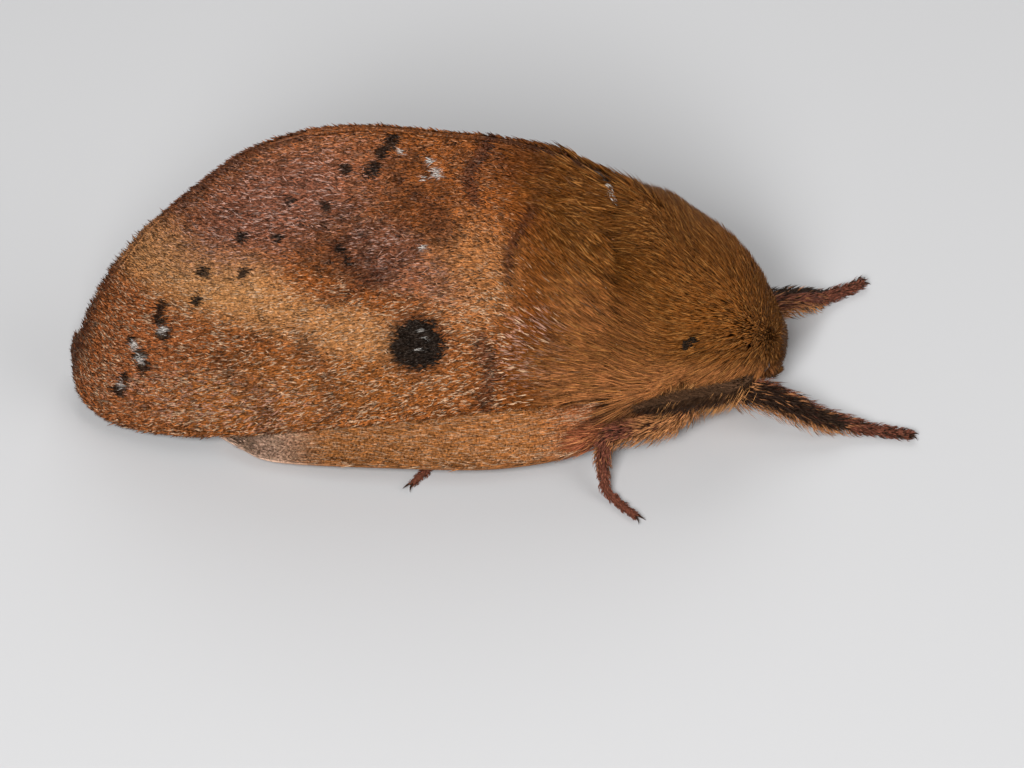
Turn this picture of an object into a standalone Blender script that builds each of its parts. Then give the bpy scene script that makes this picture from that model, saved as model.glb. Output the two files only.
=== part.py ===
"""A europtera moth at rest, life size, with its wings folded like a roof.

The moth's own frame is in millimetres: +X is forward, +Y is the moth's left and +Z is up
from the floor. The middle of the wings' length is near X = -3 and the eyes are near X = 14.
Every solid is moved by -CENTRE as it is made, so that the model stands around its origin.
"""

import math

import bmesh
import bpy
import numpy as np
from mathutils import Vector
from mathutils.bvhtree import BVHTree

MM = 0.001
CENTRE = np.array([2.8, 0.0, 0.0])
GAP = 0.3

WING_THICKNESS = 0.5
WING_EDGE_THICKNESS = 0.32
VEIN_HEIGHT = 0.14
VEIN_HALF_WIDTH = 0.014
FOREWING_ROWS = 13
FOREWING_BASE_X = 8.6
HINDWING_ROWS = 12
# Half the space between the two wings along the ridge, and how far each section bulges.
RIDGE_OUT = 0.45
ROOF_BULGE = 0.35
# The forewing's outline from the side, as X and height: the ridge, then the outer margin.
FOREWING_RIDGE = (
    (8.6, 12.0), (7.3, 12.7), (5.9, 13.6), (3.2, 14.55), (0.9, 14.85), (-2.6, 15.25), (-5.2, 15.0),
)
FOREWING_TERMEN = (
    (-5.2, 15.0), (-8.0, 13.65), (-11.25, 10.4), (-12.85, 8.4), (-14.4, 5.4), (-15.3, 2.4), (-15.7, 0.9),
)
# Its front edge: X, distance out from the middle, and height.
FOREWING_COSTA = (
    (8.6, 4.35, 3.2),
    (4.6, 4.4, 2.65),
    (1.95, 4.55, 2.45),
    (-0.4, 4.7, 2.2),
    (-3.5, 4.7, 1.8),
    (-5.8, 4.7, 1.5),
    (-8.0, 4.75, 1.3),
    (-10.6, 4.5, 1.0),
    (-13.3, 3.5, 0.62),
    (-14.8, 2.3, 0.55),
    (-15.7, 0.95, 0.9),
)
FOREWING_VEINS = (0.1, 0.24, 0.36, 0.47, 0.57, 0.67, 0.76, 0.85, 0.93)
FOREWING_CELL = (0.36, 0.76)
FOREWING_CELL_END = 0.45

HINDWING_BASE_X = 8.45
HINDWING_BASE_EDGE_X = 6.9
HINDWING_INNER_HEIGHT = 10.0
HINDWING_INNER_TAIL_X = -6.0
HINDWING_TAIL_X = -8.9
HINDWING_TAIL_BULGE = 2.4
HINDWING_UNDER = 1.15
HINDWING_BEND_ABOVE = 1.6
HINDWING_BEND_AT = 0.58
# The lobe's free edge below the forewing: X, distance out from the middle, and height.
HINDWING_EDGE = (
    (8.6, 4.6, 0.95),
    (7.2, 5.35, 0.92),
    (5.8, 6.0, 0.9),
    (4.0, 6.45, 0.88),
    (1.8, 6.65, 0.86),
    (-2.4, 6.45, 0.82),
    (-5.7, 6.0, 0.6),
    (-7.35, 5.5, 0.45),
    (-8.4, 4.7, 0.42),
    (-9.5, 3.8, 0.42),
    (-11.0, 2.6, 0.5),
)
HINDWING_EDGE_SLOPE = math.radians(6)
# How steeply the lobe leaves the bend and how evenly it runs out, as shares of its fall.
HINDWING_STEEP = 0.92
HINDWING_SHALLOW = 0.35
HINDWING_VEINS = (0.14, 0.3, 0.45, 0.6, 0.74, 0.88)

# Stations along the thorax: X, radius of the coat's outer round, its centre's height,
# the share of the tent shape, and how far the solid core lies under the coat.
THORAX_STATIONS = (
    (8.9, 4.65, 5.8, 1.0, 0.0),
    (9.6, 4.6, 5.6, 0.62, 0.3),
    (10.6, 4.4, 5.25, 0.18, 0.6),
    (11.5, 4.15, 4.85, 0.0, 0.7),
    (12.4, 3.85, 4.4, 0.0, 0.7),
    (13.2, 3.45, 4.1, 0.0, 0.7),
    (13.9, 2.9, 3.9, 0.0, 0.7),
    (14.35, 1.9, 3.85, 0.0, 0.6),
    (14.5, 1.2, 3.85, 0.0, 0.6),
)
THORAX_NECK = ((5.0, 2.0, 3.3), (6.8, 2.15, 3.4), (8.84, 2.35, 3.6))
THORAX_BOTTOM = 0.95

HEAD_CENTRE = np.array([13.95, 0.0, 2.6])
HEAD_RADIUS = 1.5
HEAD_STRETCH = (0.95, 1.0, 0.95)
EYE_CENTRE = np.array([14.45, 1.1, 2.4])
EYE_RADIUS = 0.6
PALP_PATH = ((14.75, 0.5, 1.2), (15.3, 0.55, 1.05), (15.8, 0.6, 1.35))
PALP_RADII = (0.3, 0.36, 0.34, 0.16)
ANTENNA_PATH = (
    (15.0, 1.0, 3.4),
    (14.95, 2.1, 3.4),
    (14.2, 3.2, 3.05),
    (13.0, 3.98, 3.05),
    (11.5, 4.6, 3.25),
    (10.2, 5.0, 3.25),
    (9.1, 5.25, 3.1),
)
ANTENNA_RADII = (0.24, 0.28, 0.34, 0.36, 0.36, 0.34, 0.3, 0.24, 0.12)

# Stations along the abdomen: X and radius; its segments are grooved a little between.
ABDOMEN_STATIONS = ((4.7, 1.9), (3.0, 2.3), (0.0, 2.4), (-3.0, 2.2), (-5.5, 1.8), (-7.6, 1.2))
ABDOMEN_TAIL = -9.3
ABDOMEN_HEIGHT = 3.3
ABDOMEN_SEGMENTS = 8
ABDOMEN_GROOVE = 0.12

# Each leg: where it leaves the body, the turns to its foot, and which of these are joints.
FOOT_HEIGHT = 0.2
LEGS = {
    "fore_right": {
        "root": (13.15, -2.3, 2.2),
        "path": ((13.9, -2.7, 1.85), (14.95, -2.95, 1.75), (17.0, -3.5, 1.0), (18.2, -3.6, 0.34),
                 (19.7, -3.65, FOOT_HEIGHT), (21.2, -3.7, FOOT_HEIGHT)),
    },
    "fore_left": {
        "root": (13.15, 2.3, 2.2),
        "path": ((13.9, 2.8, 1.85), (14.9, 3.3, 1.7), (16.4, 4.2, 1.1), (17.3, 4.85, 0.4),
                 (18.2, 5.6, FOOT_HEIGHT), (19.2, 6.4, FOOT_HEIGHT)),
    },
    "mid_right": {
        "root": (11.6, -2.9, 2.4),
        "path": ((11.2, -3.75, 1.9), (10.0, -4.5, 1.65), (7.85, -5.45, 1.65), (7.7, -7.2, 0.6),
                 (8.05, -7.8, 0.28), (8.55, -8.4, FOOT_HEIGHT), (9.1, -9.0, FOOT_HEIGHT)),
    },
    "mid_left": {
        "root": (11.6, 2.9, 2.4),
        "path": ((11.2, 3.75, 1.9), (9.9, 4.5, 1.65), (7.7, 5.5, 1.65), (7.3, 7.2, 0.6),
                 (7.6, 7.8, 0.28), (8.1, 8.3, FOOT_HEIGHT), (8.6, 8.8, FOOT_HEIGHT)),
    },
    "hind_right": {
        "root": (6.9, -1.75, 2.1),
        "path": ((6.6, -2.55, 1.2), (5.6, -2.95, 0.8), (3.9, -3.3, 0.6), (1.2, -4.2, 0.4),
                 (0.7, -4.9, FOOT_HEIGHT), (0.0, -5.8, FOOT_HEIGHT), (-0.8, -6.9, FOOT_HEIGHT)),
    },
    "hind_left": {
        "root": (6.9, 1.75, 2.1),
        "path": ((6.6, 2.55, 1.2), (5.5, 2.95, 0.8), (3.6, 3.3, 0.6), (0.7, 4.2, 0.4),
                 (0.1, 4.9, FOOT_HEIGHT), (-0.7, 5.8, FOOT_HEIGHT), (-1.6, 7.0, FOOT_HEIGHT)),
    },
}
# Which turns of each path are its two joints.
LEG_JOINTS = {"fore": (2, 3), "mid": (3, 4), "hind": (3, 4)}
JOINT_TRIM = 0.27
LEG_GAP = 0.4
FEMUR_RADII = (0.28, 0.4, 0.5, 0.48, 0.28)
TIBIA_RADII = (0.28, 0.44, 0.42, 0.28)
TARSUS_RADII = (0.24, 0.3, 0.25, 0.29, 0.24, 0.28, 0.23, 0.27, 0.22, 0.25, 0.2)

# Where the coat's hairs spread from, in front of the head.
WHORL = np.array([15.3, 0.0, 3.7])
# The locks' root depth in the core, their thickness there and at the tip, and their tip's width.
LOCK_ROOT = 0.35
LOCK_DROOP_RADIUS = 3.6
LOCK_THICK = (0.55, 0.2)
LOCK_TIP_SHARE = 0.25
LOCK_REACHES = (1.0, 0.75, 0.55)
THORAX_LOCKS = {"spacing": 1.5, "length": 2.1, "width": 1.6, "lift": 0.6, "start": 9.7, "end": 14.5,
                "rings": 3}
HEAD_LOCKS = {"spacing": 1.0, "length": 0.85, "width": 0.6, "lift": 0.3, "start": 13.4, "end": 15.3,
              "rings": 3}
FRINGE = {"length": 1.0, "width": 0.6, "lift": 0.42, "rings": 2}
# Where along each segment its fringe grows, how far out, and how far up and sidewards it points.
FRINGE_AT = 0.5
FRINGE_OUT = 0.2
FRINGE_UP = 0.8
FRINGE_SIDEWARDS = 0.6
# The antenna's comb: how many pairs of teeth, between which shares of its length, the teeth's
# length at the root and tip, and their lean.
COMB_PAIRS = 7
COMB_SPAN = (0.27, 0.9)
COMB_LENGTHS = (0.85, 0.4)
COMB_LEAN = 0.75
COMB_ROOT_RADIUS = 0.24
CLAW_LENGTH = 0.34
CLAW_RADIUS = 0.11

FUR_BROWN = (0.195, 0.069, 0.013)
FUR_DARK = (0.115, 0.038, 0.009)
WING_BROWN = (0.254, 0.089, 0.018)
LOBE_GOLD = (0.392, 0.147, 0.025)
LEG_RED = (0.107, 0.034, 0.021)
ANTENNA_GREY = (0.042, 0.030, 0.022)
EYE_BLACK = (0.012, 0.009, 0.008)


def clear_scene():
    for obj in list(bpy.data.objects):
        bpy.data.objects.remove(obj, do_unlink=True)


def material(name, colour, roughness):
    found = bpy.data.materials.get(name)
    if found:
        return found
    made = bpy.data.materials.new(name)
    made.use_nodes = True
    shader = made.node_tree.nodes["Principled BSDF"]
    shader.inputs["Base Color"].default_value = (*colour, 1.0)
    shader.inputs["Roughness"].default_value = roughness
    shader.inputs["Metallic"].default_value = 0.0
    return made


def add_object(name, points, faces, finish):
    """One closed solid from points in the moth's own frame, its faces turned outwards."""
    mesh = bpy.data.meshes.new(name)
    mesh.from_pydata(((np.asarray(points) - CENTRE) * MM).tolist(), [], faces)
    shape = bmesh.new()
    shape.from_mesh(mesh)
    bmesh.ops.recalc_face_normals(shape, faces=shape.faces)
    shape.to_mesh(mesh)
    shape.free()
    mesh.shade_smooth()
    mesh.set_sharp_from_angle(angle=math.radians(60))
    mesh.materials.append(finish)
    obj = bpy.data.objects.new(name, mesh)
    bpy.context.scene.collection.objects.link(obj)
    return obj


def smooth_step(value):
    value = np.clip(value, 0.0, 1.0)
    return value * value * (3.0 - 2.0 * value)


def unit(vector):
    return vector / np.linalg.norm(vector)


def spline(points, count):
    """Points evenly spread by length along a smooth curve that passes through these ones."""
    points = np.array(points, float)
    padded = np.vstack([2 * points[0] - points[1], points, 2 * points[-1] - points[-2]])
    pieces = []
    for i in range(len(points) - 1):
        before, start, end, after = padded[i : i + 4]
        t = np.linspace(0.0, 1.0, 12, endpoint=False)[:, None]
        pieces.append(
            0.5 * (2 * start + (end - before) * t + (2 * before - 5 * start + 4 * end - after) * t**2
                   + (3 * start - before - 3 * end + after) * t**3)
        )
    fine = np.vstack([*pieces, points[-1:]])
    length = np.concatenate([[0.0], np.cumsum(np.linalg.norm(np.diff(fine, axis=0), axis=1))])
    wanted = np.linspace(0.0, length[-1], count)
    return np.stack([np.interp(wanted, length, fine[:, i]) for i in range(points.shape[1])], axis=1)


def resample(points, shares):
    """Points at these shares of the length of a smooth curve."""
    curve = spline(points, 200)
    return np.stack([np.interp(shares, np.linspace(0, 1, 200), curve[:, i])
                     for i in range(curve.shape[1])], axis=1)


def loft_faces(ring_count, side_count, first):
    """Faces of a tube of rings with a pole at each end; the two poles follow the rings."""
    faces = []
    for ring in range(ring_count - 1):
        for side in range(side_count):
            a = first + ring * side_count + side
            b = first + ring * side_count + (side + 1) % side_count
            faces.append((a, b, b + side_count))
            faces.append((a, b + side_count, a + side_count))
    start_pole = first + ring_count * side_count
    last = first + (ring_count - 1) * side_count
    for side in range(side_count):
        after = (side + 1) % side_count
        faces.append((start_pole, first + after, first + side))
        faces.append((start_pole + 1, last + side, last + after))
    return faces


def lofted(name, rings, poles, finish):
    rings = np.asarray(rings)
    points = np.vstack([rings.reshape(-1, 3), np.asarray(poles)])
    faces = loft_faces(rings.shape[0], rings.shape[1], 0)
    return add_object(name, points, faces, finish)


def sheet(name, top, bottom, finish):
    """A thin shell between two grids of points, both cut into triangles the same way."""
    rows, columns = top.shape[:2]
    count = rows * columns
    faces = []
    for row in range(rows - 1):
        for column in range(columns - 1):
            a = row * columns + column
            b, c, d = a + 1, a + columns + 1, a + columns
            faces += [(a, b, c), (a, c, d)]
            faces += [(a + count, c + count, b + count), (a + count, d + count, c + count)]
    rim = [column for column in range(columns)]
    rim += [row * columns + columns - 1 for row in range(1, rows)]
    rim += [(rows - 1) * columns + column for column in range(columns - 2, -1, -1)]
    rim += [row * columns for row in range(rows - 2, 0, -1)]
    for a, b in zip(rim, rim[1:] + rim[:1]):
        faces.append((a, a + count, b + count))
        faces.append((a, b + count, b))
    return add_object(name, np.vstack([top.reshape(-1, 3), bottom.reshape(-1, 3)]), faces, finish)


def along(points, x):
    """The other measures of a smooth curve through these points, read at places along the body."""
    curve = spline(points, 120)
    curve = curve[np.argsort(curve[:, 0])]
    return [np.interp(x, curve[:, 0], curve[:, i]) for i in range(1, curve.shape[1])]


def roof_out(x, height):
    """How far out from the middle the folded forewing lies, at a place along the body and a height.

    Each section runs from the ridge or outer margin down to the front edge, bulging a little.
    """
    (top,) = along(FOREWING_RIDGE + FOREWING_TERMEN[1:], x)
    costa_out, costa_height = along(FOREWING_COSTA, x)
    down = (top - height) / np.maximum(top - costa_height, 0.5)
    return RIDGE_OUT + (costa_out - RIDGE_OUT) * (down + ROOF_BULGE * down * (1 - down))


def vein_columns(veins):
    columns = {0.0, 0.03, 0.97, 1.0}
    for vein in veins:
        columns |= {round(vein - VEIN_HALF_WIDTH, 4), vein, round(vein + VEIN_HALF_WIDTH, 4)}
    return np.array(sorted(columns))


def vein_relief(u, v, veins, cell, cell_end):
    """How far the top face rises: on each vein, which inside the cell only its two sides have."""
    relief = np.zeros_like(u)
    for vein in veins:
        on_vein = np.abs(v - vein) < 1e-6
        inside = cell and cell[0] < vein < cell[1]
        strength = smooth_step((u - cell_end) / 0.1) if inside else np.ones_like(u)
        relief = np.where(on_vein, VEIN_HEIGHT * strength, relief)
    return relief * smooth_step((1.02 - u) / 0.2)


def edge_thickness(u, v):
    """Full thickness over the wing, thinner along its free margins."""
    share = smooth_step(np.minimum(np.minimum(v, 1 - v) / 0.03, (1 - u) / 0.05))
    return WING_EDGE_THICKNESS + (WING_THICKNESS - WING_EDGE_THICKNESS) * share


def wing_solid(name, middle, thickness, relief, side, finish):
    normal = np.cross(np.gradient(middle, axis=0), np.gradient(middle, axis=1))
    normal /= np.linalg.norm(normal, axis=2, keepdims=True)
    if normal[..., 2].mean() < 0:
        normal = -normal
    top = middle + normal * (thickness / 2 + relief)[..., None]
    bottom = middle - normal * (thickness / 2)[..., None]
    turn = np.array([1.0, side, 1.0])
    return sheet(name, top * turn, bottom * turn, finish)


def forewing(name, side):
    """The outline's four edges, seen from the side, are blended over the wing and bent to the roof."""
    v = vein_columns(FOREWING_VEINS)
    u = np.linspace(0.0, 1.0, FOREWING_ROWS)
    inner = resample(FOREWING_RIDGE, u)
    costa = resample(FOREWING_COSTA, u)[:, [0, 2]]
    base = inner[0] + (costa[0] - inner[0]) * v[:, None]
    termen = resample(FOREWING_TERMEN, v)
    uu, vv = np.meshgrid(u, v, indexing="ij")
    flat = (
        inner[:, None] * (1 - vv)[..., None]
        + costa[:, None] * vv[..., None]
        + base[None] * (1 - uu)[..., None]
        + termen[None] * uu[..., None]
        - inner[0] * ((1 - uu) * (1 - vv))[..., None]
        - costa[0] * ((1 - uu) * vv)[..., None]
        - inner[-1] * (uu * (1 - vv))[..., None]
        - costa[-1] * (uu * vv)[..., None]
    )
    middle = np.stack([flat[..., 0], roof_out(flat[..., 0], flat[..., 1]), flat[..., 1]], axis=2)
    relief = vein_relief(uu, vv, FOREWING_VEINS, FOREWING_CELL, FOREWING_CELL_END)
    thickness = edge_thickness(uu, vv)
    return wing_solid(name, middle, thickness, relief, side,
                      material("forewing_scales", WING_BROWN, 0.7))


def hindwing(name, side):
    """It lies close under the forewing and turns out below its edge as a rounded lobe."""
    b = vein_columns(HINDWING_VEINS)
    a = np.linspace(0.0, 1.0, HINDWING_ROWS)
    aa, bb = np.meshgrid(a, b, indexing="ij")
    base_x = HINDWING_BASE_X + (HINDWING_BASE_EDGE_X - HINDWING_BASE_X) * smooth_step((bb - 0.5) / 0.5)
    tail_x = (HINDWING_INNER_TAIL_X + (HINDWING_TAIL_X - HINDWING_INNER_TAIL_X) * bb
              - HINDWING_TAIL_BULGE * bb * (1 - bb))
    x = base_x + (tail_x - base_x) * aa
    _, costa_height = along(FOREWING_COSTA, x)
    bend_height = costa_height + HINDWING_BEND_ABOVE
    bend_out = roof_out(x, bend_height) - HINDWING_UNDER
    down = np.clip(bb / HINDWING_BEND_AT, 0, 1)
    height = HINDWING_INNER_HEIGHT + (bend_height - HINDWING_INNER_HEIGHT) * down
    out = roof_out(x, height) - HINDWING_UNDER
    edge_out, edge_height = along(HINDWING_EDGE, x)
    t = np.clip((bb - HINDWING_BEND_AT) / (1 - HINDWING_BEND_AT), 0, 1)
    steep = HINDWING_STEEP * (bend_height - edge_height)
    shallow = HINDWING_SHALLOW * (bend_height - edge_height)
    second_out = edge_out - shallow * math.cos(HINDWING_EDGE_SLOPE)
    second_height = edge_height + shallow * math.sin(HINDWING_EDGE_SLOPE)
    weights = ((1 - t) ** 3, 3 * t * (1 - t) ** 2, 3 * t * t * (1 - t), t**3)
    outs = (bend_out, bend_out + 0.1 * steep, second_out, edge_out)
    heights = (bend_height, bend_height - steep, second_height, edge_height)
    on_lobe = bb > HINDWING_BEND_AT
    out = np.where(on_lobe, sum(w * p for w, p in zip(weights, outs)), out)
    height = np.where(on_lobe, sum(w * p for w, p in zip(weights, heights)), height)
    relief = vein_relief(aa, bb, HINDWING_VEINS, None, 0.0)
    relief = relief * smooth_step((bb - HINDWING_BEND_AT) / 0.1)
    return wing_solid(name, np.stack([x, out, height], axis=2), edge_thickness(aa, bb), relief, side,
                      material("hindwing_scales", LOBE_GOLD, 0.65))


def round_ring(x, radius, height, count):
    angle = np.linspace(0.0, 2 * math.pi, count, endpoint=False)
    return np.stack([np.full(count, x), radius * np.sin(angle), height + radius * np.cos(angle)], axis=1)


def tent_ring(x, count, inset):
    """The wings' roof with their thickness, closed below by half an ellipse."""
    half = count // 2
    share = np.arange(half + 1) / half
    roof_share = 0.6
    _, top = FOREWING_RIDGE[0]
    _, costa_out, costa_height = FOREWING_COSTA[0]
    height = top - (top - costa_height) * np.clip(share / roof_share, 0, 1)
    out = roof_out(np.full_like(height, FOREWING_BASE_X), height)
    out = out + (WING_THICKNESS / 2 - inset) * np.clip(share / roof_share * 4, 0, 1)
    out[0] = 0.0
    angle = np.clip((share - roof_share) / (1 - roof_share), 0, 1) * math.pi / 2
    side_out = costa_out + WING_THICKNESS / 2 - inset
    low = share > roof_share
    out = np.where(low, side_out * np.cos(angle), out)
    height = np.where(low, costa_height - (costa_height - THORAX_BOTTOM - inset) * np.sin(angle), height)
    out = np.concatenate([out, -out[-2:0:-1]])
    height = np.concatenate([height, height[-2:0:-1]])
    return np.stack([np.full(count, x), out, height], axis=1)


def thorax_ring(x, radius, height, tent, inset, count=32):
    plain = round_ring(x, radius - inset, height, count)
    if tent == 0:
        return plain
    return plain * (1 - tent) + tent_ring(x, count, inset) * tent


def ball(centre, radius, stretch=(1.0, 1.0, 1.0), rings=8, sides=16):
    """Rings of points round the X axis, without the poles."""
    angle = np.linspace(0.0, math.pi, rings + 2)[1:-1]
    made = [round_ring(-math.cos(a), math.sin(a), 0.0, sides) for a in angle]
    reach = np.array(stretch) * radius
    poles = np.array([[-1.0, 0, 0], [1.0, 0, 0]]) * reach + centre
    return np.array(made) * reach + centre, poles


def apply_boolean(obj, operation, others, solver="EXACT"):
    """Joins or cuts with closed helper meshes, applies it, and removes the helpers."""
    helpers = bpy.data.collections.new("helpers")
    for other in others:
        bpy.context.scene.collection.objects.unlink(other)
        helpers.objects.link(other)
    bpy.context.scene.collection.children.link(helpers)
    modifier = obj.modifiers.new("join", "BOOLEAN")
    modifier.operation = operation
    modifier.operand_type = "COLLECTION"
    modifier.collection = helpers
    modifier.solver = solver
    bpy.context.view_layer.update()
    graph = bpy.context.evaluated_depsgraph_get()
    mesh = bpy.data.meshes.new_from_object(obj.evaluated_get(graph))
    obj.modifiers.clear()
    mesh.name = obj.name
    obj.data = mesh
    for other in others:
        bpy.data.objects.remove(other, do_unlink=True)
    bpy.data.collections.remove(helpers)


def keep_largest(obj):
    """Drops every closed surface of a node but the one with the most faces."""
    shape = bmesh.new()
    shape.from_mesh(obj.data)
    left = set(shape.faces)
    islands = []
    while left:
        island, edge = set(), [left.pop()]
        while edge:
            face = edge.pop()
            island.add(face)
            for side in face.edges:
                for near in side.link_faces:
                    if near in left:
                        left.remove(near)
                        edge.append(near)
        islands.append(island)
    islands.sort(key=len)
    loose = [face for island in islands[:-1] for face in island]
    bmesh.ops.delete(shape, geom=loose, context="FACES")
    shape.to_mesh(obj.data)
    shape.free()
    obj.data.shade_smooth()
    obj.data.set_sharp_from_angle(angle=math.radians(60))


def fuse(obj, pieces):
    """Joins these closed pieces to a node in one union and keeps its largest closed surface."""
    if pieces:
        apply_boolean(obj, "UNION", pieces, "MANIFOLD")
        keep_largest(obj)


def lock_rings(place, outwards, lie, size, share):
    """Rings of a flat lock that leaves the core and bends over along the lie of the coat.

    Its middle goes along the lie evenly and outwards by a sine, drooping with the body's
    round, and its width and thickness taper.
    """
    t = np.linspace(0.0, 1.0, size["rings"])[:, None]
    length = size["length"] * share
    rise = (LOCK_ROOT + size["lift"] * share) * np.sin(t * math.pi / 2) - LOCK_ROOT
    rise = rise - (length * t) ** 2 / (2 * LOCK_DROOP_RADIUS)
    middle = place + lie * length * t + outwards * rise
    across = np.cross(outwards, lie)
    half = size["width"] / 2 * (1 - (1 - LOCK_TIP_SHARE) * t**2)
    thick = (LOCK_THICK[0] + (LOCK_THICK[1] - LOCK_THICK[0]) * t) / 2
    rings = np.stack([middle + across * half, middle + outwards * thick,
                      middle - across * half, middle - outwards * thick], axis=1)
    tip = middle[-1] + (middle[-1] - middle[-2]) * 0.25
    return rings, np.array([middle[0] - lie * 0.1, tip])


def clear_of(points, trees):
    """Whether every point stays off the other nodes by the gap."""
    for tree in trees:
        for point in points:
            if tree.find_nearest(Vector(point), GAP)[0] is not None:
                return False
    return True


def laid_lock(place, outwards, size, trees, finish, lie=None):
    """One lock at this place, shortened until it stays clear of the other nodes, or none."""
    if lie is None:
        lie = place - WHORL
    lie = lie - outwards * np.dot(lie, outwards)
    lie = lie / max(np.linalg.norm(lie), 1e-6)
    for share in LOCK_REACHES:
        rings, poles = lock_rings(place, outwards, lie, size, share)
        points = np.vstack([rings.reshape(-1, 3), poles[1:]])
        if points[:, 2].min() > GAP and clear_of(points, trees):
            return lofted("lock", rings, poles, finish)
    return None


def coat(obj, centre_height, size, trees, finish):
    """Locks spread evenly over a body node, ring by ring, pointing away from the whorl."""
    tree = surface_of(obj)
    locks = []
    for row, x in enumerate(np.arange(size["start"], size["end"], size["spacing"] * 0.8)):
        middle = Vector((x, 0.0, centre_height))
        girth = 0.0
        spokes = np.linspace(0.0, 2 * math.pi, 49)
        reached = [tree.ray_cast(middle + Vector((0, math.sin(a), math.cos(a))) * 20,
                                 -Vector((0, math.sin(a), math.cos(a)))) for a in spokes]
        reached = [(np.array(hit[0]), np.array(hit[1])) for hit in reached if hit[0] is not None]
        next_at = size["spacing"] * (0.5 if row % 2 else 0.0)
        for before, (place, outwards) in zip(reached[:1] + reached, reached):
            girth += np.linalg.norm(place - before[0])
            if girth < next_at:
                continue
            next_at += size["spacing"]
            made = laid_lock(place, outwards, size, trees, finish)
            if made:
                locks.append(made)
    fuse(obj, locks)


def fringe(obj, path, trees, finish):
    """Hairs in flat locks above and below a leg's segment, leaning towards its foot."""
    curve = spline(path, 21)
    at = int(round(FRINGE_AT * 20))
    along_leg = unit(curve[at + 1] - curve[at - 1])
    level = unit(np.cross(along_leg, [0.0, 0.0, 1.0]))
    upright = np.cross(level, along_leg)
    locks = []
    for upwards in (FRINGE_UP, -FRINGE_UP):
        for sidewards in (FRINGE_SIDEWARDS, -FRINGE_SIDEWARDS):
            outwards = unit(upright * upwards + level * sidewards)
            place = curve[at] + outwards * FRINGE_OUT
            made = laid_lock(place, outwards, FRINGE, trees, finish, along_leg)
            if made:
                locks.append(made)
    fuse(obj, locks)


def spine(start, end, radius, finish):
    """A three-sided tapered tooth from one point to another."""
    start, end = np.array(start), np.array(end)
    path = np.array([start, start + (end - start) * 0.6])
    rings = tube_rings(path, np.array([radius, radius * 0.7]), 3)
    return lofted("spine", rings, np.array([start - (end - start) * 0.05, end]), finish)


def comb(obj, path, finish):
    """Pairs of teeth along the antenna, leaning towards its tip and shorter there."""
    curve = spline(path, 60)
    teeth = []
    for share in np.linspace(*COMB_SPAN, COMB_PAIRS):
        at = int(share * 60)
        forward = unit(curve[at + 1] - curve[at - 1])
        upright = np.cross(unit(np.cross(forward, [0.0, 0.0, 1.0])), forward)
        length = np.interp(share, COMB_SPAN, COMB_LENGTHS)
        for turn in (1, -1):
            reach = unit(upright * turn * (1 - COMB_LEAN * 0.5) + forward * COMB_LEAN) * length
            teeth.append(spine(curve[at], curve[at] + reach, COMB_ROOT_RADIUS, finish))
    fuse(obj, teeth)


def claws(obj, path, finish):
    """Two small hooks at the end of a foot."""
    end = np.array(path[-1], float)
    forward = unit(end - np.array(path[-2], float))
    level = np.cross(forward, [0.0, 0.0, 1.0])
    hooks = []
    for turn in (1, -1):
        start = end - forward * 0.1 + level * turn * 0.06
        tip = end + forward * CLAW_LENGTH + level * turn * 0.2
        tip[2] = 0.1
        hooks.append(spine(start, tip, CLAW_RADIUS, finish))
    fuse(obj, hooks)


def thorax():
    finish = material("thorax_fur", FUR_BROWN, 0.8)
    rings = [round_ring(x, radius, height, 32) for x, radius, height in THORAX_NECK]
    rings += [thorax_ring(*station) for station in THORAX_STATIONS]
    first, last = THORAX_NECK[0], THORAX_STATIONS[-1]
    poles = [(first[0], 0.0, first[2]), (last[0] + 0.1, 0.0, last[2])]
    body = lofted("thorax", rings, poles, finish)
    socket, socket_poles = ball(HEAD_CENTRE, HEAD_RADIUS + GAP, HEAD_STRETCH, 10, 24)
    cutter = lofted("socket", socket, socket_poles, finish)
    apply_boolean(body, "DIFFERENCE", [cutter])
    return body


def head():
    finish = material("head_fur", FUR_DARK, 0.85)
    rings, poles = ball(HEAD_CENTRE, HEAD_RADIUS, HEAD_STRETCH, 9, 20)
    body = lofted("head", rings, poles, finish)
    cutters = []
    for side in (-1, 1):
        centre = EYE_CENTRE * np.array([1.0, side, 1.0])
        socket, socket_poles = ball(centre, EYE_RADIUS + GAP, rings=7, sides=14)
        cutters.append(lofted("eye_socket", socket, socket_poles, finish))
    apply_boolean(body, "DIFFERENCE", cutters)
    return body


def eye(name, side):
    rings, poles = ball(EYE_CENTRE * np.array([1.0, side, 1.0]), EYE_RADIUS, rings=7, sides=12)
    return lofted(name, rings, poles, material("eye_black", EYE_BLACK, 0.15))


def abdomen():
    stations = spline(ABDOMEN_STATIONS, ABDOMEN_SEGMENTS * 3 + 1)
    rings = []
    for i, (x, radius) in enumerate(stations):
        groove = ABDOMEN_GROOVE if i % 3 == 0 and 0 < i < len(stations) - 1 else 0.0
        rings.append(round_ring(x, radius - groove, ABDOMEN_HEIGHT, 18))
    poles = [(stations[0][0], 0.0, ABDOMEN_HEIGHT), (ABDOMEN_TAIL, 0.0, ABDOMEN_HEIGHT)]
    return lofted("abdomen", rings, poles, material("abdomen_fur", FUR_DARK, 0.8))


def tube_rings(path, radii, sides, squash=1.0):
    """Rings round a path, each square to it, with their sides kept from twisting."""
    path = np.asarray(path, float)
    ahead = np.gradient(path, axis=0)
    ahead /= np.linalg.norm(ahead, axis=1, keepdims=True)
    level = np.cross(ahead, [0.0, 0.0, 1.0])
    level /= np.linalg.norm(level, axis=1, keepdims=True)
    upright = np.cross(level, ahead)
    angle = np.linspace(0.0, 2 * math.pi, sides, endpoint=False)
    wide = radii[:, None, None] * np.cos(angle)[None, :, None] * level[:, None]
    tall = radii[:, None, None] * np.sin(angle)[None, :, None] * upright[:, None] * squash
    return path[:, None] + wide + tall


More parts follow.
